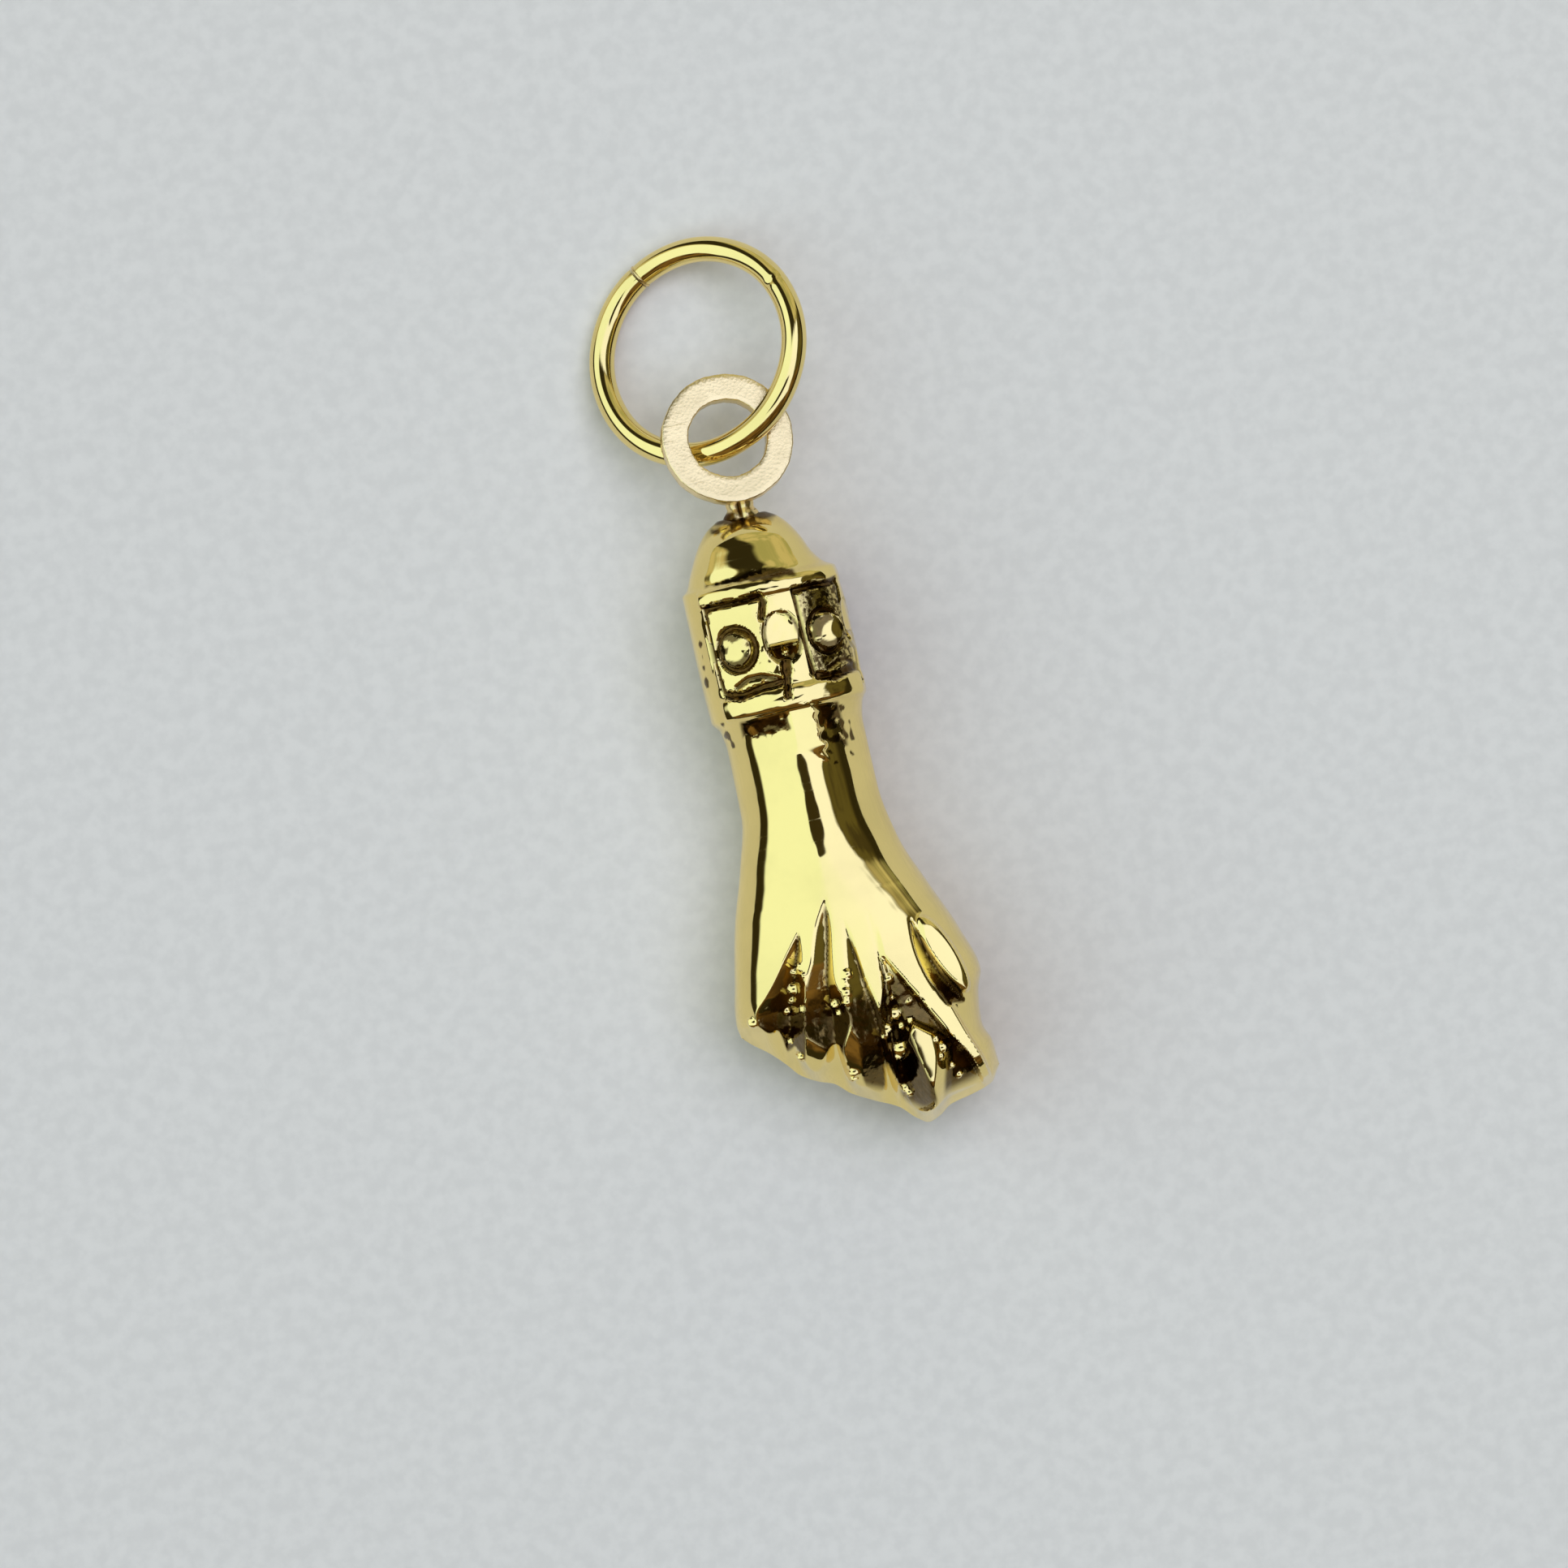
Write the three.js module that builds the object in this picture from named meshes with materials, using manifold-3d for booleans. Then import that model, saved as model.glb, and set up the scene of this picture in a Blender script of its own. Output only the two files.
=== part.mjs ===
import * as THREE from 'three';
import { mergeVertices } from 'three/addons/utils/BufferGeometryUtils.js';
import Module from 'manifold-3d';

const wasm = await Module();
wasm.setup();

// A small gold charm: a clenched hand, the thumb between two fingers, on a short wrist with an ornamented cuff.
// Millimetres. It lies on its palm side: Z up, Y along the arm toward the hanging eye, X across the hand.
// The two hollow halves meet on the plane z = 0 until the finished group is moved onto the table.

// Overall size of the hand with its arm, without the eye and the ring. The lists below are stretched to it.
const HAND = { width: 5.89, length: 14.88, thickness: 4.03 };

// Hand and arm
const SEAM = 0.04;
const SIDE_WALL = 0.36;
const INNER = { relief: 0.07, fist: 0.7, over: 1.5, rows: 8, columns: 20 };
const OUTER = { rows: 22, columns: 48, cuffRows: 25 };
const CROWDING = 0.55;
const BEND_POWER = 2.5;
const EVEN = { share: 0.6, power: 0.4 };
const END_FALL = 0.95;
const EDGE_FADE = 0.9;
const LIFT_FADE = 0.4;
const LEAST_HEIGHT = 0.001;
const ARM_TOP = -0.05;
const DOME_END = -1.52;
const CUFF_END = -4.8;
const FIST_START = -9.2;
const CORNER_LEFT = -12.0;
const CORNER_RIGHT = -13.9;

// Cuff: bosses and pointed drops, repeated round the arm by a fixed turn
const CUFF_RADIUS = 1.87;
const REPEATS = 5;
const STEP = 360 / REPEATS;
const BOSS_TURN = -29;
const DROP_TURN = 7;
const BOSS_Y = -3.1;
const BOSS = { radius: 0.5, edge: 0.46, round: 0.05, point: 0.03, lean: 0.32, leanFrom: [12, 32], soft: 0.06 };
const GROOVE = { width: 0.12, depth: 0.1 };
const TOP_BAR = { y: -1.8, half: 0.2, high: 0.08 };
const BOTTOM_BAR = { y: -4.46, half: 0.28, high: 0.09 };
const DROP = {
  top: 0.65, middle: 0.6, reach: 0.62, half: 0.4, upper: 0.09, rise: 0.04, step: 0.76, lower: 0.3, fall: 0.62,
  side: 0.25,
};
const PEARL = { at: [0.02, -0.26], radius: 0.1, high: 0.12 };
const BAND = { above: 1.3, below: -1.38 };
const SEAM_FADE = { share: 0.8, power: 12 };

// Eye and jump ring
const EYE = {
  at: [0.04, 1.78, 0.18], outer: 1.56, hole: 0.935, thick: 0.36, lean: 15.8, toward: 45, chamfer: 0.03,
  sides: 48,
};
const RING = { at: [-0.185, 3.965, -0.6], radius: 2.49, wire: 0.3, slope: 27.5, low: 142, joint: 245 };
const RING_JOINT = { slot: 0.07, filled: 0.06, proud: 0.02, sides: 14, steps: 88 };
const NECK = { half: [0.5, 0.42, 0.44], at: [0, 0.12, 0.26], gap: 0.02, sides: 24, rings: 16 };

const GOLD = { color: 0xe3c06a, roughness: 0.16, metalness: 1 };
const SATIN = { color: 0xe0c888, roughness: 0.42, metalness: 1 };
const SOLDER = { color: 0xcfae66, roughness: 0.3, metalness: 1 };

// Outline of the lying charm: across-position at each height along the arm, left then right
const LEFT = [
  [-0.05, -0.6], [-0.2, -0.86], [-0.45, -1.1], [-0.8, -1.32], [-1.2, -1.52], [-1.5, -1.66], [-1.62, -1.79],
  [-3.1, -1.8], [-4.65, -1.76], [-4.9, -1.6], [-5.4, -1.53], [-6.9, -1.55], [-8.15, -1.85], [-9.4, -2.25],
  [-10.6, -2.53], [-11.7, -2.72], [-12.0, -2.67],
];
const RIGHT = [
  [-0.05, 0.55], [-0.2, 0.8], [-0.45, 1.03], [-0.8, 1.24], [-1.2, 1.42], [-1.5, 1.66], [-1.62, 1.86],
  [-3.1, 1.96], [-4.65, 1.94], [-4.9, 1.82], [-5.4, 1.73], [-6.9, 1.74], [-8.15, 1.94], [-9.4, 2.41],
  [-10.56, 2.89], [-11.6, 3.17], [-12.1, 3.0], [-12.65, 2.93], [-13.3, 3.08], [-13.9, 3.11],
];
// Knuckle ends along the bottom: height at each across-position
const BOTTOM = [
  [-2.67, -12.0], [-2.47, -12.2], [-2.1, -12.5], [-1.78, -12.83], [-1.5, -13.16], [-1.1, -13.4],
  [-0.78, -13.52], [-0.44, -13.82], [0.05, -14.1], [0.6, -14.38], [0.95, -14.72], [1.22, -14.88],
  [1.5, -14.78], [1.8, -14.58], [2.4, -14.44], [2.85, -14.28], [3.11, -13.9],
];
// Half thickness along the arm, back of the hand and palm
const BACK_OF_HAND = [
  [-0.05, 0.34], [-0.2, 0.58], [-0.45, 0.88], [-0.65, 1.05], [-0.9, 1.16], [-1.2, 1.28], [-1.5, 1.38],
  [-1.62, 1.48], [-4.65, 1.7], [-4.9, 1.6], [-5.4, 1.51], [-7.0, 1.46], [-8.4, 1.52], [-9.6, 1.64],
  [-11.0, 1.82], [-12.5, 1.98], [-14.9, 2.0],
];
const PALM = [
  [-0.05, 0.34], [-0.2, 0.58], [-0.45, 0.88], [-0.65, 1.05], [-0.9, 1.16], [-1.2, 1.28], [-1.5, 1.38],
  [-1.62, 1.48], [-4.65, 1.7], [-4.9, 1.6], [-5.4, 1.54], [-7.0, 1.55], [-8.4, 1.68], [-9.8, 1.9],
  [-11.3, 2.03], [-14.9, 2.0],
];
// Section along the arm, left and right of the middle. Sharpness: 2 is round, less is a ridge, more a plateau.
const SHARPNESS = [
  [[-0.05, 2], [-5.0, 2], [-6.2, 1.85], [-8.4, 1.55], [-9.4, 1.9], [-10.6, 2.4], [-14.9, 2.5]],
  [[-0.05, 2], [-5.0, 2], [-6.2, 1.85], [-7.5, 1.65], [-8.0, 2.1], [-8.5, 2.6], [-9.5, 3.6], [-10.5, 4],
    [-14.9, 4]],
];
// Fullness: 2 is round, more makes steep shoulders
const FULLNESS = [
  [[-0.05, 2], [-1.5, 2.5], [-2.0, 2.9], [-4.6, 2.9], [-5.3, 2.2], [-6.2, 2], [-9.0, 2.05], [-10.6, 2.7],
    [-11.6, 3], [-14.9, 3]],
  [[-0.05, 2], [-1.5, 2.5], [-2.0, 2.9], [-4.6, 2.9], [-5.3, 2.2], [-6.2, 2], [-14.9, 2]],
];
// Finger ends: how far back from the bottom each is rounded, and the steepest rise from the bottom there
const END_LENGTH = [
  [-2.6, 1.1], [-1.8, 1.2], [-1.3, 2.4], [-0.2, 2.6], [0.4, 2.6], [0.75, 1.4], [1.4, 0.9], [3.2, 0.9],
];
const END_SLOPE = [
  [-2.7, 2.0], [-2.1, 2.0], [-1.75, 1.15], [-1.5, 1.2], [-1.15, 3.2], [-0.9, 2.2], [-0.52, 1.12],
  [-0.2, 3.0], [0.15, 2.6], [0.5, 1.1], [0.75, 2.2], [1.2, 5.0], [3.2, 5.0],
];

// V cuts between the fingers. Each is listed along its floor as place along the hand, place across and height.
// The slopes are those of its two sides. A crosswise cut runs across the hand.
const HEAD_SLOPE = 3;
const BACK_CUTS = [
  {
    floor: [[-9.7, -0.78, 1.6], [-10.3, -0.95, 1.45], [-10.7, -1.1, 1.35], [-11.2, -1.25, 1.15],
      [-11.6, -1.4, 0.92], [-12.0, -1.5, 0.86], [-12.4, -1.65, 0.6], [-12.95, -1.8, 0.1]],
    slopes: [0.44, 2.0],
  },
  {
    floor: [[-9.2, -0.04, 1.6], [-9.9, -0.15, 1.53], [-10.6, -0.3, 1.56], [-11.2, -0.43, 1.49],
      [-11.7, -0.45, 1.31], [-12.1, -0.48, 1.22], [-12.6, -0.55, 1.3], [-13.6, -0.78, 0.4]],
    slopes: [0.42, 1.7],
  },
  {
    floor: [[-9.8, 0.27, 1.69], [-10.5, 0.35, 1.68], [-11.3, 0.42, 1.7], [-12.1, 0.5, 1.6],
      [-12.7, 0.52, 1.5], [-13.2, 0.5, 1.2], [-13.95, 0.45, 0.5]],
    slopes: [0.45, 3.0],
  },
  {
    floor: [[-9.8, 0.86, 1.67], [-10.6, 0.88, 1.77], [-11.4, 0.9, 1.78], [-12.1, 0.8, 1.65],
      [-13.2, 0.74, 1.45], [-13.8, 0.7, 1.3], [-14.2, 0.62, 1.0], [-14.5, 0.6, 0.6]],
    slopes: [2.0, 0.95],
  },
  {
    floor: [[-10.1, 1.8, 1.53], [-10.7, 1.92, 1.48], [-11.3, 2.1, 1.42], [-11.9, 2.4, 1.33],
      [-12.25, 2.62, 1.25]],
    slopes: [1.3, 1.6],
  },
];
const PALM_CUTS = [
  {
    floor: [[-10.1, -1.45, 1.68], [-11.4, -1.6, 1.25], [-12.4, -1.7, 0.75], [-12.95, -1.82, 0.1]],
    slopes: [1, 1],
  },
  {
    floor: [[-10.0, -0.5, 1.87], [-11.8, -0.62, 1.4], [-13.0, -0.7, 0.9], [-13.6, -0.78, 0.1]],
    slopes: [1, 1],
  },
  {
    floor: [[-10.3, 0.5, 1.95], [-12.4, 0.52, 1.45], [-13.7, 0.56, 0.9], [-14.5, 0.6, 0.1]],
    slopes: [1, 1],
  },
  {
    floor: [[-11.2, 1.2, 1.95], [-12.8, 1.5, 1.45], [-13.9, 1.7, 0.9], [-14.7, 1.82, 0.1]],
    slopes: [1.1, 1],
  },
  {
    floor: [[2.5, -10.5, 0.75], [1.3, -10.2, 1.45], [-0.2, -10.25, 1.55], [-1.2, -11.0, 1.6],
      [-2.3, -11.9, 1.3], [-3.1, -12.4, 0.2]],
    slopes: [0.8, 0.75],
    crosswise: true,
  },
];

// Hollow beside the index finger, with the thumb's tip standing in it: place across at each place along
const POCKET = {
  left: [[-10.9, 0.92], [-11.6, 0.92], [-12.3, 0.84], [-13.2, 0.76], [-14.6, 0.6]],
  shallow: 0.08,
  deep: 0.34,
  deepAt: 12.6,
  leftEdge: [-0.02, 0.12],
  rightEdge: [-0.03, 0.09],
};
const INDEX = {
  left: [[-10.8, 1.0], [-11.5, 1.36], [-12.15, 1.7], [-12.9, 2.1], [-13.6, 2.5], [-14.4, 2.72]],
  right: [[-10.6, 1.72], [-11.5, 2.02], [-12.3, 2.3], [-13.0, 2.52], [-13.8, 2.78], [-14.4, 2.86]],
  top: 1.9,
  tilt: [-0.16, 0.07],
  from: [1.2, -11.5],
  start: [10.0, 11.6],
  leftEdge: [-0.05, 0.03],
  rightEdge: [-0.06, 0.02],
};
const THUMB_TIP = {
  middle: [[-12.3, 1.28], [-12.8, 1.4], [-13.4, 1.5], [-14.2, 1.43], [-14.9, 1.3]],
  half: [[-12.35, 0.2], [-12.7, 0.3], [-13.2, 0.22], [-14.2, 0.04], [-14.9, 0.02]],
  start: [12.15, 12.75],
  flank: 0.42,
  rise: 0.92,
};
// Ball of the thumb, a level oval beside the index finger
const THUMB_ROOT = {
  at: [2.38, -11.07], lean: 0.36, long: 1.0, short: 0.3, top: 1.66, tilt: [-0.2, 0.08], from: [2.05, -11.0],
  shoulder: 0.72, drop: 0.5, power: 1.5, edge: 1.08, soft: 0.1,
};

const FRONT = { up: 1, height: BACK_OF_HAND, cuts: BACK_CUTS };
const BACK = { up: -1, height: PALM, cuts: PALM_CUTS };

const radians = THREE.MathUtils.degToRad;
const clamp = THREE.MathUtils.clamp;

const unit = (value) => clamp(value, 0, 1);

function softStep(value, low, high) {
  const t = unit((value - low) / (high - low));
  return t * t * (3 - 2 * t);
}

// Smooth value at a position in a list of [position, value], held level past both ends
function along(list, place, column = 1) {
  const sign = list[1][0] < list[0][0] ? -1 : 1;
  const at = (k) => sign * list[k][0];
  const here = sign * place;
  let k = 0;
  while (k < list.length - 2 && here > at(k + 1)) k += 1;
  const slope = (j) => (list[j + 1][column] - list[j][column]) / (at(j + 1) - at(j));
  const soft = (a, b) => (a * b > 0 ? (2 * a * b) / (a + b) : 0);
  const own = slope(k);
  const start = soft(k > 0 ? slope(k - 1) : own, own);
  const end = soft(k < list.length - 2 ? slope(k + 1) : own, own);
  const step = at(k + 1) - at(k);
  const t = unit((here - at(k)) / step);
  const t2 = t * t;
  const t3 = t2 * t;
  return (2 * t3 - 3 * t2 + 1) * list[k][column] + (t3 - 2 * t2 + t) * step * start
    + (3 * t2 - 2 * t3) * list[k + 1][column] + (t3 - t2) * step * end;
}

const bottomAt = (x) => along(BOTTOM, x);

const largest = (list, column) => Math.max(...list.map((entry) => Math.abs(entry[column])));
const STRETCH = {
  x: HAND.width / (largest(LEFT, 1) + largest(RIGHT, 1)),
  y: HAND.length / largest(BOTTOM, 1),
  z: HAND.thickness / (largest(BACK_OF_HAND, 1) + largest(PALM, 1)),
};

// Height that a V cut leaves at a point
function cutLevel({ floor, slopes, crosswise }, x, y) {
  const [place, side] = crosswise ? [-x, y] : [y, x];
  const off = side - along(floor, place);
  const pastEnds = Math.max(0, place - floor[0][0]) + Math.max(0, floor[floor.length - 1][0] - place);
  return along(floor, place, 2) + HEAD_SLOPE * pastEnds + Math.abs(off) * (off > 0 ? slopes[1] : slopes[0]);
}

// Depth of the hollow beside the index finger, less the thumb's tip
function pocketDepth(x, y) {
  const { left, shallow, deep, deepAt, leftEdge, rightEdge } = POCKET;
  if (y > left[0][0]) return 0;
  const inside = softStep(x - along(left, y), ...leftEdge) * softStep(along(INDEX.left, y) - x, ...rightEdge);
  const depth = shallow + deep * softStep(-y, -left[0][0], deepAt);
  const off = Math.abs(x - along(THUMB_TIP.middle, y)) - along(THUMB_TIP.half, y);
  const tip = unit(1 - off / THUMB_TIP.flank) * softStep(-y, ...THUMB_TIP.start);
  return depth * inside * (1 - THUMB_TIP.rise * tip);
}

const tilted = ({ top, tilt, from }, x, y) => top + tilt[0] * (x - from[0]) + tilt[1] * (from[1] - y);

// Height added on the index finger's back, out to its sharp edge
function indexLift(x, y, z, end) {
  const { left, right, leftEdge, rightEdge, start } = INDEX;
  const inside = softStep(x - along(left, y), ...leftEdge) * softStep(along(right, y) - x, ...rightEdge);
  return inside * softStep(-y, ...start) * unit(tilted(INDEX, x, y) * end - z);
}

// Height added on the ball of the thumb
function thumbLift(x, y, z) {
  const { at: [ox, oy], lean, long, short, shoulder, drop, power, edge, soft } = THUMB_ROOT;
  const size = Math.hypot(lean, 1);
  const lengthwise = ((x - ox) * lean - (y - oy)) / size;
  const across = ((x - ox) + lean * (y - oy)) / size;
  const oval = Math.hypot(lengthwise / long, across / short);
  const level = tilted(THUMB_ROOT, x, y) - drop * unit(oval - shoulder) ** power;
  return softStep(edge - oval, 0, soft) * unit(level - z);
}

const dome = (distance, radius) => Math.sqrt(Math.max(0, 1 - (distance / radius) ** 2));

// Relief of the cuff at an angle round the arm (0 on top) and a place along it
function cuffRelief(angle, y) {
  const turn = (from) => (((angle - from + STEP / 2) % STEP) + STEP) % STEP - STEP / 2;
  const arc = (degrees) => radians(degrees) * CUFF_RADIUS;
  const bar = ({ y: at, half, high }) => high * dome(y - at, half);
  const bars = bar(TOP_BAR) + bar(BOTTOM_BAR);
  if (y > BOSS_Y + BAND.above || y < BOSS_Y + BAND.below) return bars;
  const fromBoss = arc(turn(BOSS_TURN));
  const reach = Math.hypot(fromBoss, y - BOSS_Y);
  const ring = GROOVE.depth * dome(reach - BOSS.radius, GROOVE.width);
  const bulge = unit(1 - (reach / BOSS.edge) ** 2);
  const fromDrop = arc(turn(DROP_TURN));
  const down = BOSS_Y + DROP.top - y;
  const half = DROP.half * dome(down - DROP.middle, DROP.reach);
  const side = half > 0 ? unit(1 - (fromDrop / half) ** 2) ** DROP.side : 0;
  const deep = down < DROP.step ? DROP.upper - DROP.rise * down : DROP.lower - DROP.fall * (down - DROP.step);
  const hollow = side * unit(deep);
  const pearl = PEARL.high * dome(Math.hypot(fromDrop - PEARL.at[0], y - BOSS_Y - PEARL.at[1]), PEARL.radius);
  const within = softStep(BOSS.edge - reach, 0, BOSS.soft);
  const lean = BOSS.lean * fromBoss * softStep(angle, ...BOSS.leanFrom) * within;
  return bars + BOSS.round * Math.sqrt(bulge) + BOSS.point * bulge + lean - Math.max(ring, hollow) + pearl;
}

// Rows of the surface grid: the heights of the left and right ends, and how far the row takes the bottom's shape
function rowList(fistRows, armRows) {
  const rows = armRows.map((y) => ({ left: y, right: y, bend: 0 }));
  for (let k = 1; k <= fistRows; k += 1) {
    const share = k / fistRows;
    const t = Math.sin((share * Math.PI) / 2) * CROWDING + share * (1 - CROWDING);
    const at = (corner) => FIST_START + (corner - FIST_START) * t;
    rows.push({ left: at(CORNER_LEFT), right: at(CORNER_RIGHT), bend: t ** BEND_POWER });
  }
  return rows;
}

function spread(from, to, count) {
  return Array.from({ length: count }, (_, k) => from + ((to - from) * k) / (count - 1));
}

const ARM_ROWS = [
  ARM_TOP, -0.13, -0.27, -0.45, -0.7, -0.95, -1.22, DOME_END,
  ...spread(-1.6, CUFF_END + 0.1, OUTER.cuffRows), -4.86, -5.05, -5.4, -6.1, -6.9, -7.7, -8.5, FIST_START,
];
const OUTER_ROWS = rowList(OUTER.rows, ARM_ROWS);
const INNER_ROWS = rowList(INNER.rows, [-0.5, -0.9, -1.4, -1.9, -3.2, -4.5, -4.95, -6.2, -7.7, FIST_START]);

// One point of a half's skin. A wall of zero gives the outside, else the smooth inside of that wall.
function skin(column, columns, row, half, wall) {
  const share = column / columns;
  const even = EVEN.share * row.bend ** EVEN.power;
  const u = ((1 - Math.cos(Math.PI * share)) / 2) * (1 - even) + share * even;
  const left = along(LEFT, row.left) + wall;
  const right = along(RIGHT, row.right) - wall;
  const middle = (left + right) / 2;
  const s = clamp(2 * u - 1, -1, 1);
  const x = middle + (s * (right - left)) / 2;
  const [[firstX, firstY], [lastX, lastY]] = [BOTTOM[0], BOTTOM[BOTTOM.length - 1]];
  const chord = firstY + ((lastY - firstY) * (x - firstX)) / (lastX - firstX);
  const floor = bottomAt(x) + wall * 2 * row.bend;
  const y = row.left + (row.right - row.left) * u + row.bend * (bottomAt(x) - chord) + wall * 2 * row.bend;
  const hand = s < 0 ? 0 : 1;
  const section = Math.max(0, 1 - Math.abs(s) ** along(SHARPNESS[hand], y)) ** (1 / along(FULLNESS[hand], y));
  const fromEnd = unit(((y - floor) * END_FALL) / along(END_LENGTH, x));
  const end = row.bend === 1 ? 0 : Math.sqrt(1 - (1 - fromEnd) ** 2);
  const full = along(half.height, y);
  if (wall > 0) {
    const hidden = wall + INNER.relief + INNER.fist * unit((FIST_START + 1 - y) / INNER.over);
    return [x, y, (full - hidden) * section * end];
  }
  let z = full * section * end;
  if (half === FRONT) {
    z += Math.max(indexLift(x, y, z, end), thumbLift(x, y, z)) * unit(z / LIFT_FADE);
    z = Math.min(z, along(END_SLOPE, x) * Math.max(0, y - floor));
  }
  z = half.cuts.reduce((lowest, cut) => Math.min(lowest, cutLevel(cut, x, y)), z);
  if (half === FRONT) z -= pocketDepth(x, y) * unit(z / EDGE_FADE);
  if (y > DOME_END || y < CUFF_END) return [x, y, z];
  const across = clamp((2 * (x - middle)) / (along(RIGHT, y) - along(LEFT, y)), -1, 1);
  const turn = THREE.MathUtils.radToDeg(Math.asin(across));
  const fade = 1 - SEAM_FADE.share * Math.abs(across) ** SEAM_FADE.power;
  const relief = cuffRelief(half === FRONT ? turn : 180 - turn, y) * fade;
  const reach = Math.max(Math.hypot(x - middle, z), 1e-6);
  return [x + (relief * (x - middle)) / reach, y, z + (relief * z) / reach];
}

// Grid of points on a skin, its faces looking outward, and its edge loop from the top left down and round
function skinGrid(rows, columns, half, wall, level) {
  const last = rows.length - 1;
  const points = [];
  rows.forEach((row, j) => {
    for (let k = 0; k <= columns; k += 1) {
      const [x, y, z] = skin(k, columns, row, half, wall);
      const onEdge = k === 0 || k === columns || j === last;
      const height = level + (onEdge ? 0 : Math.max(z * STRETCH.z, LEAST_HEIGHT));
      points.push([x * STRETCH.x, y * STRETCH.y, half.up * height]);
    }
  });
  const at = (j, k) => j * (columns + 1) + k;
  const faces = [];
  for (let j = 0; j < last; j += 1) {
    for (let k = 0; k < columns; k += 1) {
      faces.push([at(j, k), at(j + 1, k), at(j + 1, k + 1)], [at(j, k), at(j + 1, k + 1), at(j, k + 1)]);
    }
  }
  for (let k = 1; k < columns; k += 1) faces.push([at(0, 0), at(0, k), at(0, k + 1)]);
  const loop = [];
  for (let j = 0; j < last; j += 1) loop.push(at(j, 0));
  for (let k = 0; k < columns; k += 1) loop.push(at(last, k));
  for (let j = last; j >= 0; j -= 1) loop.push(at(j, columns));
  return { points, faces, loop };
}

// Flat band of faces between an outer and an inner loop that run the same way round
function band(points, outer, inner) {
  const gap = (a, b) => Math.hypot(points[a][0] - points[b][0], points[a][1] - points[b][1]);
  const faces = [];
  let a = 0;
  let b = 0;
  while (a < outer.length || b < inner.length) {
    const here = [outer[a % outer.length], inner[b % inner.length]];
    const next = [outer[(a + 1) % outer.length], inner[(b + 1) % inner.length]];
    const stepOuter = b === inner.length || (a < outer.length && gap(next[0], here[1]) <= gap(here[0], next[1]));
    faces.push(stepOuter ? [here[0], here[1], next[0]] : [here[0], here[1], next[1]]);
    if (stepOuter) a += 1;
    else b += 1;
  }
  return faces;
}

const flipped = (faces) => faces.map(([a, b, c]) => [a, c, b]);
const moved = (faces, by) => faces.map((face) => face.map((k) => k + by));

function meshGeometry(points, faces) {
  const geometry = new THREE.BufferGeometry();
  geometry.setAttribute('position', new THREE.Float32BufferAttribute(points.flat(), 3));
  geometry.setIndex(faces.flat());
  geometry.computeVertexNormals();
  return geometry;
}

// One hollow half: outside, inside and the flat rim between them
function halfShell(half) {
  const outside = skinGrid(OUTER_ROWS, OUTER.columns, half, 0, SEAM / 2);
  const inside = skinGrid(INNER_ROWS, INNER.columns, half, SIDE_WALL, SEAM / 2);
  const points = [...outside.points, ...inside.points];
  const innerLoop = inside.loop.map((k) => k + outside.points.length);
  const faces = [
    ...outside.faces,
    ...flipped(moved(inside.faces, outside.points.length)),
    ...band(points, outside.loop, innerLoop),
  ];
  return {
    geometry: meshGeometry(points, half.up > 0 ? faces : flipped(faces)),
    outline: outside.loop.map((k) => outside.points[k]),
    hollow: inside.loop.map((k) => inside.points[k]),
  };
}

// Flat loop of solder that fills the seam, flush with the outline
function seamLoop({ outline, hollow }) {
  const count = outline.length + hollow.length;
  const level = (z) => [...outline, ...hollow].map(([x, y]) => [x, y, z]);
  const points = [...level(SEAM / 2), ...level(-SEAM / 2)];
  const outer = outline.map((_, k) => k);
  const inner = hollow.map((_, k) => outline.length + k);
  const under = band(points, outer, inner);
  const wall = (loop) => loop.flatMap((a, k) => {
    const b = loop[(k + 1) % loop.length];
    return [[a, a + count, b + count], [a, b + count, b]];
  });
  return meshGeometry(points, [...flipped(under), ...moved(under, count), ...wall(outer), ...flipped(wall(inner))]);
}

function fromArrays(positions, triangles) {
  const mesh = new wasm.Mesh({
    numProp: 3,
    vertProperties: new Float32Array(positions),
    triVerts: new Uint32Array(triangles),
  });
  return new wasm.Manifold(mesh);
}

function toSolid(geometry) {
  const plain = geometry.clone();
  plain.deleteAttribute('normal');
  plain.deleteAttribute('uv');
  const merged = mergeVertices(plain, 1e-5);
  return fromArrays(merged.attributes.position.array, merged.index.array);
}

function toGeometry(solid) {
  const { numProp, vertProperties, triVerts } = solid.getMesh();
  const positions = new Float32Array((vertProperties.length / numProp) * 3);
  for (let k = 0; k < positions.length / 3; k += 1) {
    positions.set(vertProperties.subarray(k * numProp, k * numProp + 3), k * 3);
  }
  const geometry = new THREE.BufferGeometry();
  geometry.setAttribute('position', new THREE.BufferAttribute(positions, 3));
  geometry.setIndex(new THREE.BufferAttribute(new Uint32Array(triVerts), 1));
  geometry.computeVertexNormals();
  return geometry;
}

function piece(name, geometry, finish) {
  const mesh = new THREE.Mesh(geometry, new THREE.MeshStandardMaterial(finish));
  mesh.name = name;
  return mesh;
}

// The two halves
const frontShell = halfShell(FRONT);
const backShell = halfShell(BACK);
const seamGeometry = seamLoop(frontShell);

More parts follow.
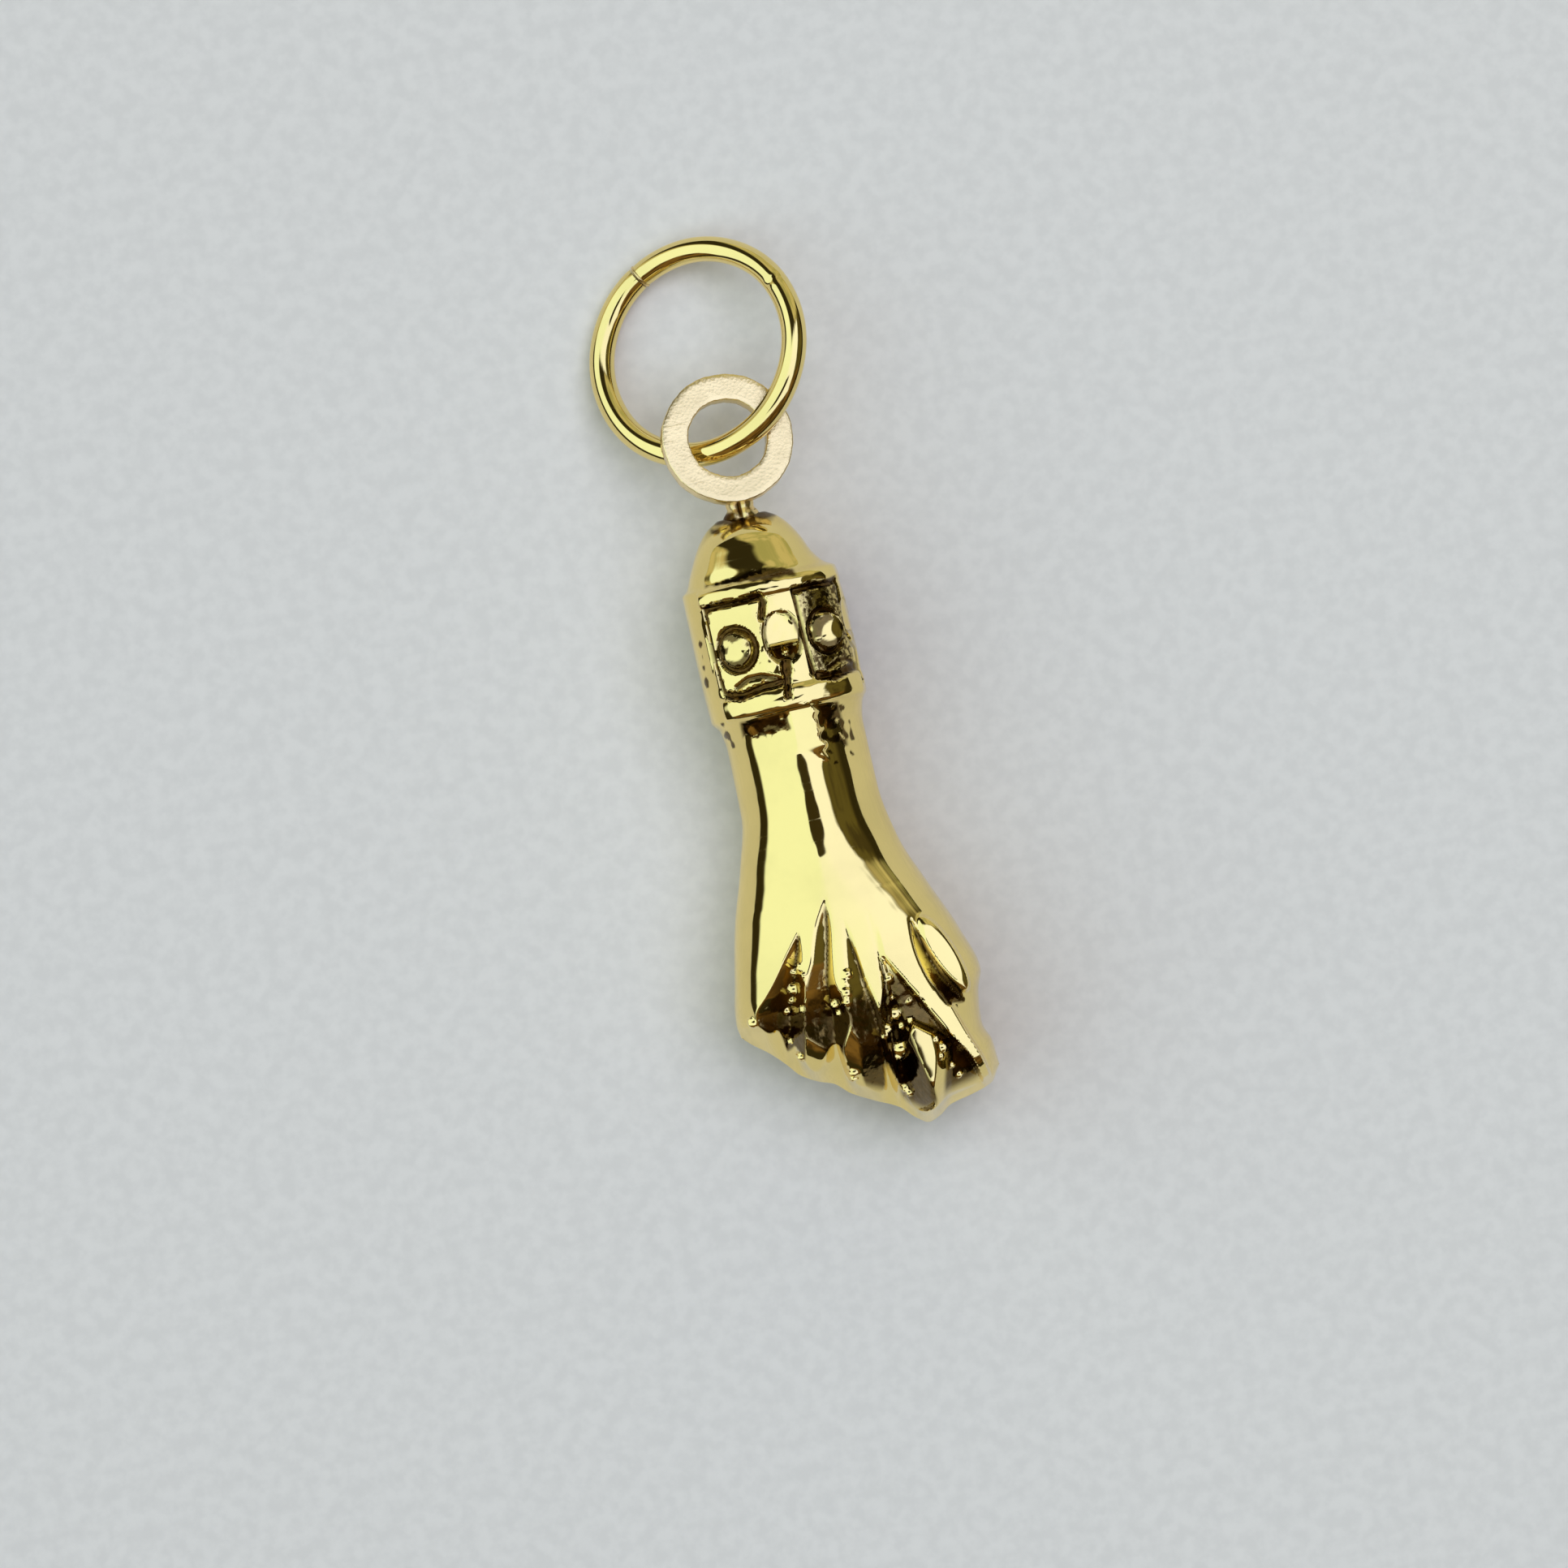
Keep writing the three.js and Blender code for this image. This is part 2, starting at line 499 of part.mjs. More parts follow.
// Flat eye, a stamped washer
const eyeGeometry = new THREE.LatheGeometry([
  [EYE.hole, -EYE.thick / 2 + EYE.chamfer], [EYE.hole + EYE.chamfer, -EYE.thick / 2],
  [EYE.outer - EYE.chamfer, -EYE.thick / 2], [EYE.outer, -EYE.thick / 2 + EYE.chamfer],
  [EYE.outer, EYE.thick / 2 - EYE.chamfer], [EYE.outer - EYE.chamfer, EYE.thick / 2],
  [EYE.hole + EYE.chamfer, EYE.thick / 2], [EYE.hole, EYE.thick / 2 - EYE.chamfer],
  [EYE.hole, -EYE.thick / 2 + EYE.chamfer],
].map(([r, h]) => new THREE.Vector2(r, h)), EYE.sides);
const eyeUp = new THREE.Vector3(
  Math.sin(radians(EYE.lean)) * Math.cos(radians(EYE.toward)),
  Math.sin(radians(EYE.lean)) * Math.sin(radians(EYE.toward)),
  Math.cos(radians(EYE.lean)),
);
const eyePlace = new THREE.Matrix4().compose(
  new THREE.Vector3(...EYE.at),
  new THREE.Quaternion().setFromUnitVectors(new THREE.Vector3(0, 1, 0), eyeUp),
  new THREE.Vector3(1, 1, 1),
);
eyeGeometry.applyMatrix4(eyePlace);

// Solder neck between the top of the arm and the eye
const neckGeometry = new THREE.SphereGeometry(1, NECK.sides, NECK.rings);
neckGeometry.scale(...NECK.half);
neckGeometry.translate(...NECK.at);
const armSide = new THREE.BoxGeometry(HAND.width, HAND.length, HAND.width);
armSide.translate(0, ARM_TOP * STRETCH.y - HAND.length / 2, 0);
const roomForEye = new THREE.LatheGeometry([
  [EYE.hole - NECK.gap, -EYE.thick / 2 - NECK.gap], [EYE.outer + NECK.gap, -EYE.thick / 2 - NECK.gap],
  [EYE.outer + NECK.gap, EYE.thick / 2 + NECK.gap], [EYE.hole - NECK.gap, EYE.thick / 2 + NECK.gap],
  [EYE.hole - NECK.gap, -EYE.thick / 2 - NECK.gap],
].map(([r, h]) => new THREE.Vector2(r, h)), EYE.sides);
roomForEye.applyMatrix4(eyePlace);
const neckSolid = toSolid(neckGeometry).subtract(toSolid(armSide)).subtract(toSolid(roomForEye));

// Jump ring: round wire bent to a circle, its two ends meeting in a soldered butt joint
const lowWay = new THREE.Vector3(Math.cos(radians(RING.low)), Math.sin(radians(RING.low)), 0);
const levelWay = new THREE.Vector3(-lowWay.y, lowWay.x, 0);
const upWay = lowWay.clone().multiplyScalar(-Math.cos(radians(RING.slope)));
upWay.z = Math.sin(radians(RING.slope));
const ringPlace = new THREE.Matrix4().makeBasis(levelWay, upWay, new THREE.Vector3().crossVectors(levelWay, upWay));
ringPlace.setPosition(...RING.at);
const jointTurn = new THREE.Matrix4().makeRotationZ(radians(RING.joint));
const placed = (geometry) => geometry.applyMatrix4(jointTurn).applyMatrix4(ringPlace);
const ringSolid = toSolid(
  placed(new THREE.TorusGeometry(RING.radius, RING.wire, RING_JOINT.sides, RING_JOINT.steps)),
);
const slot = new THREE.BoxGeometry(4 * RING.wire, RING_JOINT.slot, 4 * RING.wire);
slot.translate(RING.radius, 0, 0);
const filled = new THREE.BoxGeometry(4 * RING.wire, RING_JOINT.filled, 4 * RING.wire);
filled.translate(RING.radius, 0, 0);
const bead = new THREE.TorusGeometry(
  RING.radius, RING.wire + RING_JOINT.proud, RING_JOINT.sides, RING_JOINT.steps,
);
const wireSolid = ringSolid.subtract(toSolid(placed(slot)));
const beadSolid = toSolid(placed(bead)).intersect(toSolid(placed(filled)));

const charm = new THREE.Group();
charm.name = 'figa_charm';
charm.add(
  piece('front_shell', frontShell.geometry, GOLD),
  piece('back_shell', backShell.geometry, GOLD),
  piece('seam_solder', seamGeometry, SOLDER),
  piece('hanging_eye', eyeGeometry, SATIN),
  piece('eye_solder', toGeometry(neckSolid), SOLDER),
  piece('jump_ring', toGeometry(wireSolid), GOLD),
  piece('jump_ring_solder', toGeometry(beadSolid), SOLDER),
);

// Lying on the table: the middle of the underside is the origin
const box = new THREE.Box3().setFromObject(charm);
const middle = box.getCenter(new THREE.Vector3());
charm.children.forEach((mesh) => mesh.geometry.translate(-middle.x, -middle.y, -box.min.z));

export default charm;
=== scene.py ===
"""A small gold hand charm with an ornamented cuff, a flat hanging eye and a jump ring, lying on a pale table."""

import logging
import math
from dataclasses import dataclass, field
from enum import Enum

import bpy
import numpy as np
from mathutils import Matrix, Vector

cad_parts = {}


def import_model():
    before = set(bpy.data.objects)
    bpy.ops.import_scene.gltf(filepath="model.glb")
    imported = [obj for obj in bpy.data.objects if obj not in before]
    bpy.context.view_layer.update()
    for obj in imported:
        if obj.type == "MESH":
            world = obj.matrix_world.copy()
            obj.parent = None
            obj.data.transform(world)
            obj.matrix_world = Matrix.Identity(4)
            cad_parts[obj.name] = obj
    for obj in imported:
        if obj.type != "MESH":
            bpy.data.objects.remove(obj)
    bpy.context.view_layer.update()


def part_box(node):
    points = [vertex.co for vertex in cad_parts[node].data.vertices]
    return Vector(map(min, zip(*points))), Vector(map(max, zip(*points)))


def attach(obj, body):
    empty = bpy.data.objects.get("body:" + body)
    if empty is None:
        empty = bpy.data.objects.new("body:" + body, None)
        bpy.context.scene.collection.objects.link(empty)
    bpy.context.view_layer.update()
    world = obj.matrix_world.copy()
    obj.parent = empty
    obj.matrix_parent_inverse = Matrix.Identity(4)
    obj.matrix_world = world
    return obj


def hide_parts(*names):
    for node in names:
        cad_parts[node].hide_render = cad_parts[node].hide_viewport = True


logging.basicConfig(level=logging.INFO, format="%(message)s")
LOG = logging.getLogger("charm")

MM = 0.001
Array = np.ndarray
Object = bpy.types.Object
Socket = bpy.types.NodeSocket
Points = tuple[tuple[float, float], ...]
Colour = tuple[float, float, float, float]


# ---- Curves and small helpers ----


class SoftCurve:
    """A smooth line through given values that never overshoots them."""

    def __init__(self, *points: tuple[float, float]) -> None:
        """Sorts the points and finds the slope at each.

        Args:
            *points: pairs of position and value.
        """
        self.at, self.value = np.array(sorted(points)).T
        secant = np.diff(self.value) / np.diff(self.at)
        before = np.concatenate([secant[:1], secant])
        after = np.concatenate([secant, secant[-1:]])
        total = np.where(np.abs(before + after) < 1e-12, 1.0, before + after)
        self.slope = np.where(before * after > 0, 2 * before * after / total, 0.0)

    def __call__(self, position: Array) -> Array:
        """Reads the line.

        Args:
            position: where to read, in the positions' unit.

        Returns:
            The value at each position, held level past both ends.
        """
        place = np.clip(position, self.at[0], self.at[-1])
        k = np.clip(np.searchsorted(self.at, place, side="right") - 1, 0, len(self.at) - 2)
        step = self.at[k + 1] - self.at[k]
        t = (place - self.at[k]) / step
        t2, t3 = t * t, t * t * t
        return (
            (2 * t3 - 3 * t2 + 1) * self.value[k] + (3 * t2 - 2 * t3) * self.value[k + 1]
            + ((t3 - 2 * t2 + t) * self.slope[k] + (t3 - t2) * self.slope[k + 1]) * step
        )


def unit(value: Array) -> Array:
    """Holds a value between 0 and 1."""
    return np.clip(value, 0, 1)


def soft(value: Array, low: float, high: float) -> Array:
    """Soft change from 0 at low to 1 at high."""
    t = unit((value - low) / (high - low))
    return t * t * (3 - 2 * t)


def rounded(distance: Array, radius: float) -> Array:
    """Height of a half round of that radius, 1 at its middle and 0 outside."""
    return np.sqrt(unit(1 - (distance / radius) ** 2))


def path_distance(path: Points, x: Array, y: Array) -> Array:
    """Finds how far places lie from a path.

    Args:
        path: corners of the path in order.
        x: positions across the hand.
        y: positions along it.

    Returns:
        The distance of each place.
    """
    nearest = np.full(x.shape, np.inf)
    for (x0, y0), (x1, y1) in zip(path, path[1:]):
        length = math.hypot(x1 - x0, y1 - y0)
        ux, uy = (x1 - x0) / length, (y1 - y0) / length
        run = np.clip((x - x0) * ux + (y - y0) * uy, 0, length)
        nearest = np.minimum(nearest, np.hypot(x - x0 - run * ux, y - y0 - run * uy))
    return nearest


def lattice_noise(points: Array, scale: float, seed: int) -> Array:
    """Smooth repeatable unevenness.

    Args:
        points: places, with their coordinates in millimetres along the last axis.
        scale: size of one bump in millimetres.
        seed: picks one pattern.

    Returns:
        Values from about -1 to 1.
    """
    waves = 14
    rng = np.random.default_rng(seed)
    total = np.zeros(points.shape[:-1])
    for _ in range(waves):
        way = rng.normal(size=points.shape[-1])
        way *= rng.uniform(0.6, 1.5) * 2 * math.pi / scale / np.linalg.norm(way)
        total += np.sin(points @ way + rng.uniform(0, 2 * math.pi))
    return total / math.sqrt(waves / 2) / 2


def polar(places: Array) -> tuple[Array, Array]:
    """Turn and radius of places round the local Z axis."""
    return np.arctan2(places[:, 1], places[:, 0]), np.hypot(places[:, 0], places[:, 1])


# ---- Work on meshes ----


def clear_selection() -> None:
    """Leaves every object unselected in object mode."""
    if bpy.context.object and bpy.context.object.mode != "OBJECT":
        bpy.ops.object.mode_set(mode="OBJECT")
    bpy.ops.object.select_all(action="DESELECT")


def only(obj: Object) -> None:
    """Selects one object and makes it the active one."""
    clear_selection()
    obj.select_set(True)
    bpy.context.view_layer.objects.active = obj


def read_places(obj: Object) -> Array:
    """All vertex places of an object as rows of x, y, z."""
    flat = np.empty(len(obj.data.vertices) * 3)
    obj.data.vertices.foreach_get("co", flat)
    return flat.reshape(-1, 3)


def write_places(obj: Object, places: Array) -> None:
    """Moves an object's vertices to the given places."""
    obj.data.vertices.foreach_set("co", places.astype(float).ravel())
    obj.data.update()


def write_mask(obj: Object, name: str, values: Array) -> None:
    """Stores a value for each vertex under a name that the shaders read."""
    obj.data.attributes.new(name, "FLOAT", "POINT").data.foreach_set("value", values.astype(float))


def edit_all(obj: Object) -> None:
    """Opens an object for editing with all of it selected."""
    only(obj)
    bpy.ops.object.mode_set(mode="EDIT")
    bpy.ops.mesh.select_all(action="SELECT")


def edit_chosen(obj: Object, chosen: Array) -> None:
    """Opens an object for editing with just the chosen vertices, and the edges and faces that they fill, selected.

    Args:
        obj: the mesh object.
        chosen: one True or False for each vertex.
    """
    edit_all(obj)
    bpy.ops.mesh.select_mode(type="VERT")
    bpy.ops.mesh.select_all(action="DESELECT")
    bpy.ops.object.mode_set(mode="OBJECT")
    obj.data.vertices.foreach_set("select", chosen.astype(bool))
    bpy.ops.object.mode_set(mode="EDIT")
    bpy.ops.mesh.select_mode(type="VERT")


def face_outward() -> None:
    """Turns every face of the edited mesh outward and goes back to object mode."""
    bpy.ops.mesh.select_all(action="SELECT")
    bpy.ops.mesh.normals_make_consistent(inside=False)
    bpy.ops.object.mode_set(mode="OBJECT")


def open_edges(obj: Object) -> Array:
    """True for each vertex on an open edge of the mesh."""
    keys = np.array([key for polygon in obj.data.polygons for key in polygon.edge_keys])
    edges, counts = np.unique(keys, axis=0, return_counts=True)
    mask = np.zeros(len(obj.data.vertices), bool)
    mask[edges[counts == 1].ravel()] = True
    return mask


def flat_band(loops: list[Array], height: float) -> Object:
    """Makes a flat closed band from loops that lie inside one another.

    Args:
        loops: from the outermost inward, each with as many places as rows of x, y, z in metres.
        height: how far the band rises.

    Returns:
        The band.
    """
    count = len(loops[0])
    clear_selection()
    bpy.ops.mesh.primitive_circle_add(vertices=count, radius=1.0)
    obj = bpy.context.object
    order = np.rint(polar(read_places(obj))[0] / (2 * math.pi) * count).astype(int) % count
    write_places(obj, loops[0][order])
    edit_all(obj)
    for loop in loops[1:]:
        bpy.ops.mesh.extrude_edges_move()
        bpy.ops.object.mode_set(mode="OBJECT")
        write_places(obj, np.concatenate([read_places(obj)[:-count], loop[order]]))
        bpy.ops.object.mode_set(mode="EDIT")
    bpy.ops.mesh.select_all(action="SELECT")
    bpy.ops.mesh.extrude_region_move(TRANSFORM_OT_translate={"value": (0, 0, height)})
    face_outward()
    return obj


def bevel(obj: Object, name: str, width: float, sharp: float) -> None:
    """Rounds an object's sharp edges.

    Args:
        obj: the object.
        name: what the rounding is.
        width: its width in millimetres.
        sharp: the least angle of an edge that is rounded, in degrees.
    """
    modifier = obj.modifiers.new(name, "BEVEL")
    modifier.width = width * MM
    modifier.segments = 3
    modifier.limit_method = "ANGLE"
    modifier.angle_limit = math.radians(sharp)
    only(obj)
    bpy.ops.object.modifier_apply(modifier=modifier.name)


def complete(obj: Object, name: str, sharp: float) -> Object:
    """Names a piece and shades it smooth.

    Args:
        obj: the piece.
        name: its name.
        sharp: the least angle of an edge that stays sharp, in degrees.

    Returns:
        The same piece.
    """
    obj.name = name
    only(obj)
    bpy.ops.object.shade_smooth_by_angle(angle=math.radians(sharp))
    return obj


# ---- Finishes ----


class Grain(Enum):
    """What the last tool left on a surface."""

    POLISHED = "polished"
    SATIN = "satin"
    SOLDERED = "soldered"


def shade(colour: Colour, factor: float) -> Colour:
    """A colour made darker or lighter."""
    return tuple(factor * c for c in colour[:3]) + (1.0,)


class NodeBench:
    """Places and links nodes in one tree."""

    def __init__(self, tree: bpy.types.NodeTree) -> None:
        """Keeps the tree that nodes go into."""
        self.tree = tree

    def feed(self, value: object, socket: Socket) -> None:
        """Links an output to a socket, or sets the socket's own value."""
        if isinstance(value, Socket):
            self.tree.links.new(value, socket)
        else:
            socket.default_value = value

    def add(self, kind: str, **settings: object) -> bpy.types.Node:
        """Adds a node.

        Args:
            kind: the node's type.
            **settings: properties, or inputs by their name with spaces as underscores.

        Returns:
            The new node.
        """
        node = self.tree.nodes.new(kind)
        for key, value in settings.items():
            if hasattr(node, key):
                setattr(node, key, value)
            else:
                self.feed(value, next(s for s in node.inputs if s.name == key.replace("_", " ") and s.enabled))
        return node

    def math(self, operation: str, *values: object) -> Socket:
        """Adds a math node.

        Args:
            operation: what it does.
            *values: its inputs, numbers or outputs.

        Returns:
            Its result.
        """
        node = self.add("ShaderNodeMath", operation=operation)
        for value, socket in zip(values, node.inputs):
            self.feed(value, socket)
        return node.outputs[0]

    def times(self, first: object, second: object) -> Socket:
        """Product of two numbers."""
        return self.math("MULTIPLY", first, second)

    def plus(self, first: object, second: object) -> Socket:
        """Sum of two numbers."""
        return self.math("ADD", first, second)

    def minus(self, first: object, second: object) -> Socket:
        """Difference of two numbers."""
        return self.math("SUBTRACT", first, second)

    def ramp(self, value: object, low: float, high: float, start: float = 0.0, end: float = 1.0) -> Socket:
        """Adds a clamped, soft change of range.

        Args:
            value: the number that is read.
            low: the number that gives start.
            high: the number that gives end.
            start: the result below low.
            end: the result above high.

        Returns:
            The result.
        """
        node = self.add("ShaderNodeMapRange", interpolation_type="SMOOTHSTEP")
        for number, socket in zip((value, low, high, start, end), node.inputs):
            self.feed(number, socket)
        return node.outputs[0]

    def mix(self, factor: object, first: object, second: object) -> Socket:
        """Blends two colours.

        Args:
            factor: 0 gives the first and 1 the second.
            first: a colour.
            second: a colour.

        Returns:
            The blend.
        """
        node = self.add("ShaderNodeMix", data_type="RGBA")
        for value, slot in ((factor, 0), (first, 6), (second, 7)):
            self.feed(value, node.inputs[slot])
        return node.outputs[2]

    def noise(self, place: Socket, scale: object, detail: float, roughness: float = 0.5) -> Socket:
        """Cloudy noise around one half: scale is its clouds to a metre, detail and roughness its finer layers."""
        node = self.add("ShaderNodeTexNoise", Vector=place, Scale=scale, Detail=detail, Roughness=roughness)
        return node.outputs["Fac"]

    def group(self, kind: bpy.types.NodeTree, place: Socket, **settings: float) -> dict[str, Socket]:
        """Places a shared shader group and gives its outputs by name."""
        return self.add("ShaderNodeGroup", node_tree=kind, Place=place, **settings).outputs


def new_group(name: str, setting: str, usual: float, results: tuple[str, ...]) -> tuple[NodeBench, object, object]:
    """Starts a shader group that reads a place and one number.

    Args:
        name: the group's name.
        setting: the number's name.
        usual: its usual value.
        results: names of the numbers that the group gives.

    Returns:
        The group's bench, what the group is given and what it has to give, both by name.
    """
    group = bpy.data.node_groups.new(name, "ShaderNodeTree")
    group.interface.new_socket("Place", in_out="INPUT", socket_type="NodeSocketVector")
    group.interface.new_socket(setting, in_out="INPUT", socket_type="NodeSocketFloat").default_value = usual
    for result in results:
        group.interface.new_socket(result, in_out="OUTPUT", socket_type="NodeSocketFloat")
    bench = NodeBench(group)
    return bench, bench.add("NodeGroupInput").outputs, bench.add("NodeGroupOutput").inputs


class MetalEffects:
    """Shader groups that the metals share, each built once."""

    def __init__(self) -> None:
        """Builds every group."""
        self.scratches = self.build_scratches()
        self.mottle = self.build_mottle()
        self.grain = self.build_grain()

    def build_scratches(self) -> bpy.types.NodeTree:
        """Fine crossing scratches from wear and from the polishing cloth.

        Returns:
            A group that gives a height and a mask.
        """
        bench, given, result = new_group("wear scratches", "Density", 1.0, ("Height", "Mask"))
        total = 0.0
        for turn, wide, long in ((0.4, 260.0, 9000.0), (1.5, 420.0, 12000.0), (2.4, 300.0, 8000.0)):
            way = bench.add(
                "ShaderNodeMapping", Vector=given["Place"], Rotation=(0.3, 0.2, turn), Scale=(wide, long, wide)
            )
            lines = bench.ramp(bench.noise(way.outputs[0], 1.0, 2.0, 0.6), 0.66, 0.74)
            total = bench.math("MAXIMUM", total, lines)
        broken = bench.times(total, bench.ramp(bench.noise(given["Place"], 420.0, 3.0), 0.42, 0.62))
        mask = bench.times(broken, given["Density"])
        bench.feed(mask, result["Mask"])
        bench.feed(bench.times(mask, -1.0), result["Height"])
        return bench.tree

    def build_mottle(self) -> bpy.types.NodeTree:
        """Broad, faint unevenness of colour and polish.

        Returns:
            A group that gives a value around one half.
        """
        bench, given, result = new_group("mottle", "Size", 900.0, ("Value",))
        bench.feed(bench.noise(given["Place"], given["Size"], 4.0, 0.55), result["Value"])
        return bench.tree

    def build_grain(self) -> bpy.types.NodeTree:
        """Fine grain of an unpolished or stippled surface.

        Returns:
            A group that gives a height.
        """
        bench, given, result = new_group("grain", "Size", 9000.0, ("Height",))
        cells = bench.add("ShaderNodeTexVoronoi", Vector=given["Place"], Scale=given["Size"])
        noise = bench.noise(given["Place"], bench.times(given["Size"], 0.6), 5.0, 0.7)
        bench.feed(bench.times(cells.outputs["Distance"], noise), result["Height"])
        return bench.tree


@dataclass(frozen=True)
class Finish:
    """One metal finish: its own colour and a dark colour for stippled ground and painted shade, its polish and the
    size and depth of its marks in metres.
    """

    name: str
    kind: Grain
    colour: Colour
    stipple_and_shade_colour: Colour
    roughness: float
    uneven: float
    scratch_depth: float
    grain_depth: float
    grain_size: float

    @property
    def slot(self) -> str:
        """The material slot that the finish fills."""
        return self.name.replace(" ", "_")

    def build(self, effects: MetalEffects) -> bpy.types.Material:
        """Makes the material.

        Args:
            effects: the shared shader groups.

        Returns:
            The finished material.
        """
        material = bpy.data.materials.new(self.name)
        material.use_nodes = True
        material.node_tree.nodes.clear()
        bench = NodeBench(material.node_tree)
        place = bench.add("ShaderNodeTexCoord").outputs["Object"]
        sizes = (700.0, 4200.0, 9000.0)
        broad, fine, tiny = (bench.group(effects.mottle, place, Size=size)["Value"] for size in sizes)
        scratches = bench.group(effects.scratches, place, Density=1.0)
        grain = bench.group(effects.grain, place, Size=self.grain_size)["Height"]
        shade_and_rough_ground, stipple = (
            bench.add("ShaderNodeAttribute", attribute_name=name).outputs["Fac"] for name in ("shade_and_rough_ground", "stipple")
        )

        # Metal with a faint random tone, then painted shade and dark reflections in the folds, lines and hollows, then
        # the stippled plates.
        tone = bench.mix(bench.ramp(broad, 0.35, 0.7), self.colour, shade(self.colour, 0.93))
        shade_tone = bench.mix(bench.ramp(tiny, 0.45, 0.62), self.stipple_and_shade_colour, shade(self.stipple_and_shade_colour, 1.5))
        with_painted_shade = bench.mix(bench.times(shade_and_rough_ground, bench.ramp(fine, 0.35, 0.62, 0.98, 1.0)), tone, shade_tone)
        colour = bench.mix(bench.times(stipple, bench.ramp(tiny, 0.44, 0.56, 0.95, 0.35)), with_painted_shade, self.stipple_and_shade_colour)

        rough = bench.plus(self.roughness, bench.times(bench.ramp(broad, 0.3, 0.75), self.uneven))
        for mask, added in ((scratches["Mask"], 0.1), (stipple, 0.1), (shade_and_rough_ground, 0.06)):
            rough = bench.plus(rough, bench.times(mask, added))

        depth = self.grain_depth
        if self.kind is Grain.POLISHED:
            depth = bench.times(bench.math("MAXIMUM", bench.times(stipple, 0.5), bench.times(shade_and_rough_ground, 0.3)), depth)
        height = bench.plus(bench.times(scratches["Height"], self.scratch_depth), bench.times(grain, depth))
        bump = bench.add("ShaderNodeBump", Strength=1.0, Distance=1.0, Height=height)
        surface = bench.add(
            "ShaderNodeBsdfPrincipled", Base_Color=colour, Metallic=1.0, Roughness=rough, Normal=bump.outputs[0]
        )
        bench.add("ShaderNodeOutputMaterial", Surface=surface.outputs[0])
        return material


POLISHED_GOLD = Finish(
    name="polished gold", kind=Grain.POLISHED, colour=(0.92, 0.73, 0.28, 1), stipple_and_shade_colour=(0.062, 0.031, 0.006, 1),
    roughness=0.035, uneven=0.035, scratch_depth=0.0000001, grain_depth=0.00002, grain_size=9000.0,
)
SATIN_GOLD = Finish(
    name="satin gold", kind=Grain.SATIN, colour=(0.97, 0.77, 0.4, 1), stipple_and_shade_colour=(0.55, 0.38, 0.16, 1),
    roughness=0.2, uneven=0.08, scratch_depth=0.0000015, grain_depth=0.000005, grain_size=14000.0,
)
GOLD_SOLDER = Finish(
    name="gold solder", kind=Grain.SOLDERED, colour=(0.84, 0.64, 0.29, 1), stipple_and_shade_colour=(0.072, 0.03, 0.003, 1),
    roughness=0.14, uneven=0.16, scratch_depth=0.000001, grain_depth=0.00001, grain_size=5200.0,
)


# ---- The hand ----


class Side(Enum):
    """The two halves of the hand."""

    BACK_OF_HAND = 1
    PALM = -1


@dataclass
class Skin:
    """One skin of the hand, row by column: places in millimetres, a mask of rough ground that is painted darker, as
    shade and dark reflections in the folds, grooves and hollows, and a mask of stippled ground.
    """

    x: Array
    y: Array
    z: Array
    shade_and_rough_ground: Array
    stipple: Array


@dataclass(frozen=True)
class Crease:
    """A fold cut like a V between two fingers: its floor as (along, across, height), and how steep its sides are."""

    floor: tuple[tuple[float, float, float], ...]
    before: float
    after: float
    crosswise: bool = False
    softness: float = 0.015
    head_slope: float = 3.0
    dark_width: float = 0.08

    def carve(self, skin: Skin) -> tuple[Array, Array]:
        """Height of the cut's sides.

        Args:
            skin: the skin that is cut.

        Returns:
            The height that the cut leaves, and a mask that is 1 at the bottom of the fold.
        """
        along, across = (-skin.x, skin.y) if self.crosswise else (skin.y, skin.x)
        path = SoftCurve(*((place, side) for place, side, _ in self.floor))
        depth = SoftCurve(*((place, height) for place, _, height in self.floor))
        off = across - path(along)
        away = np.hypot(off, self.softness) - self.softness
        head, tail = self.floor[0][0], self.floor[-1][0]
        past_ends = np.maximum(along - head, 0) + np.maximum(tail - along, 0)
        level = depth(along) + self.head_slope * past_ends + away * np.where(off > 0, self.after, self.before)
        return level, unit((head - along) * 3) * unit(1 - away / self.dark_width)


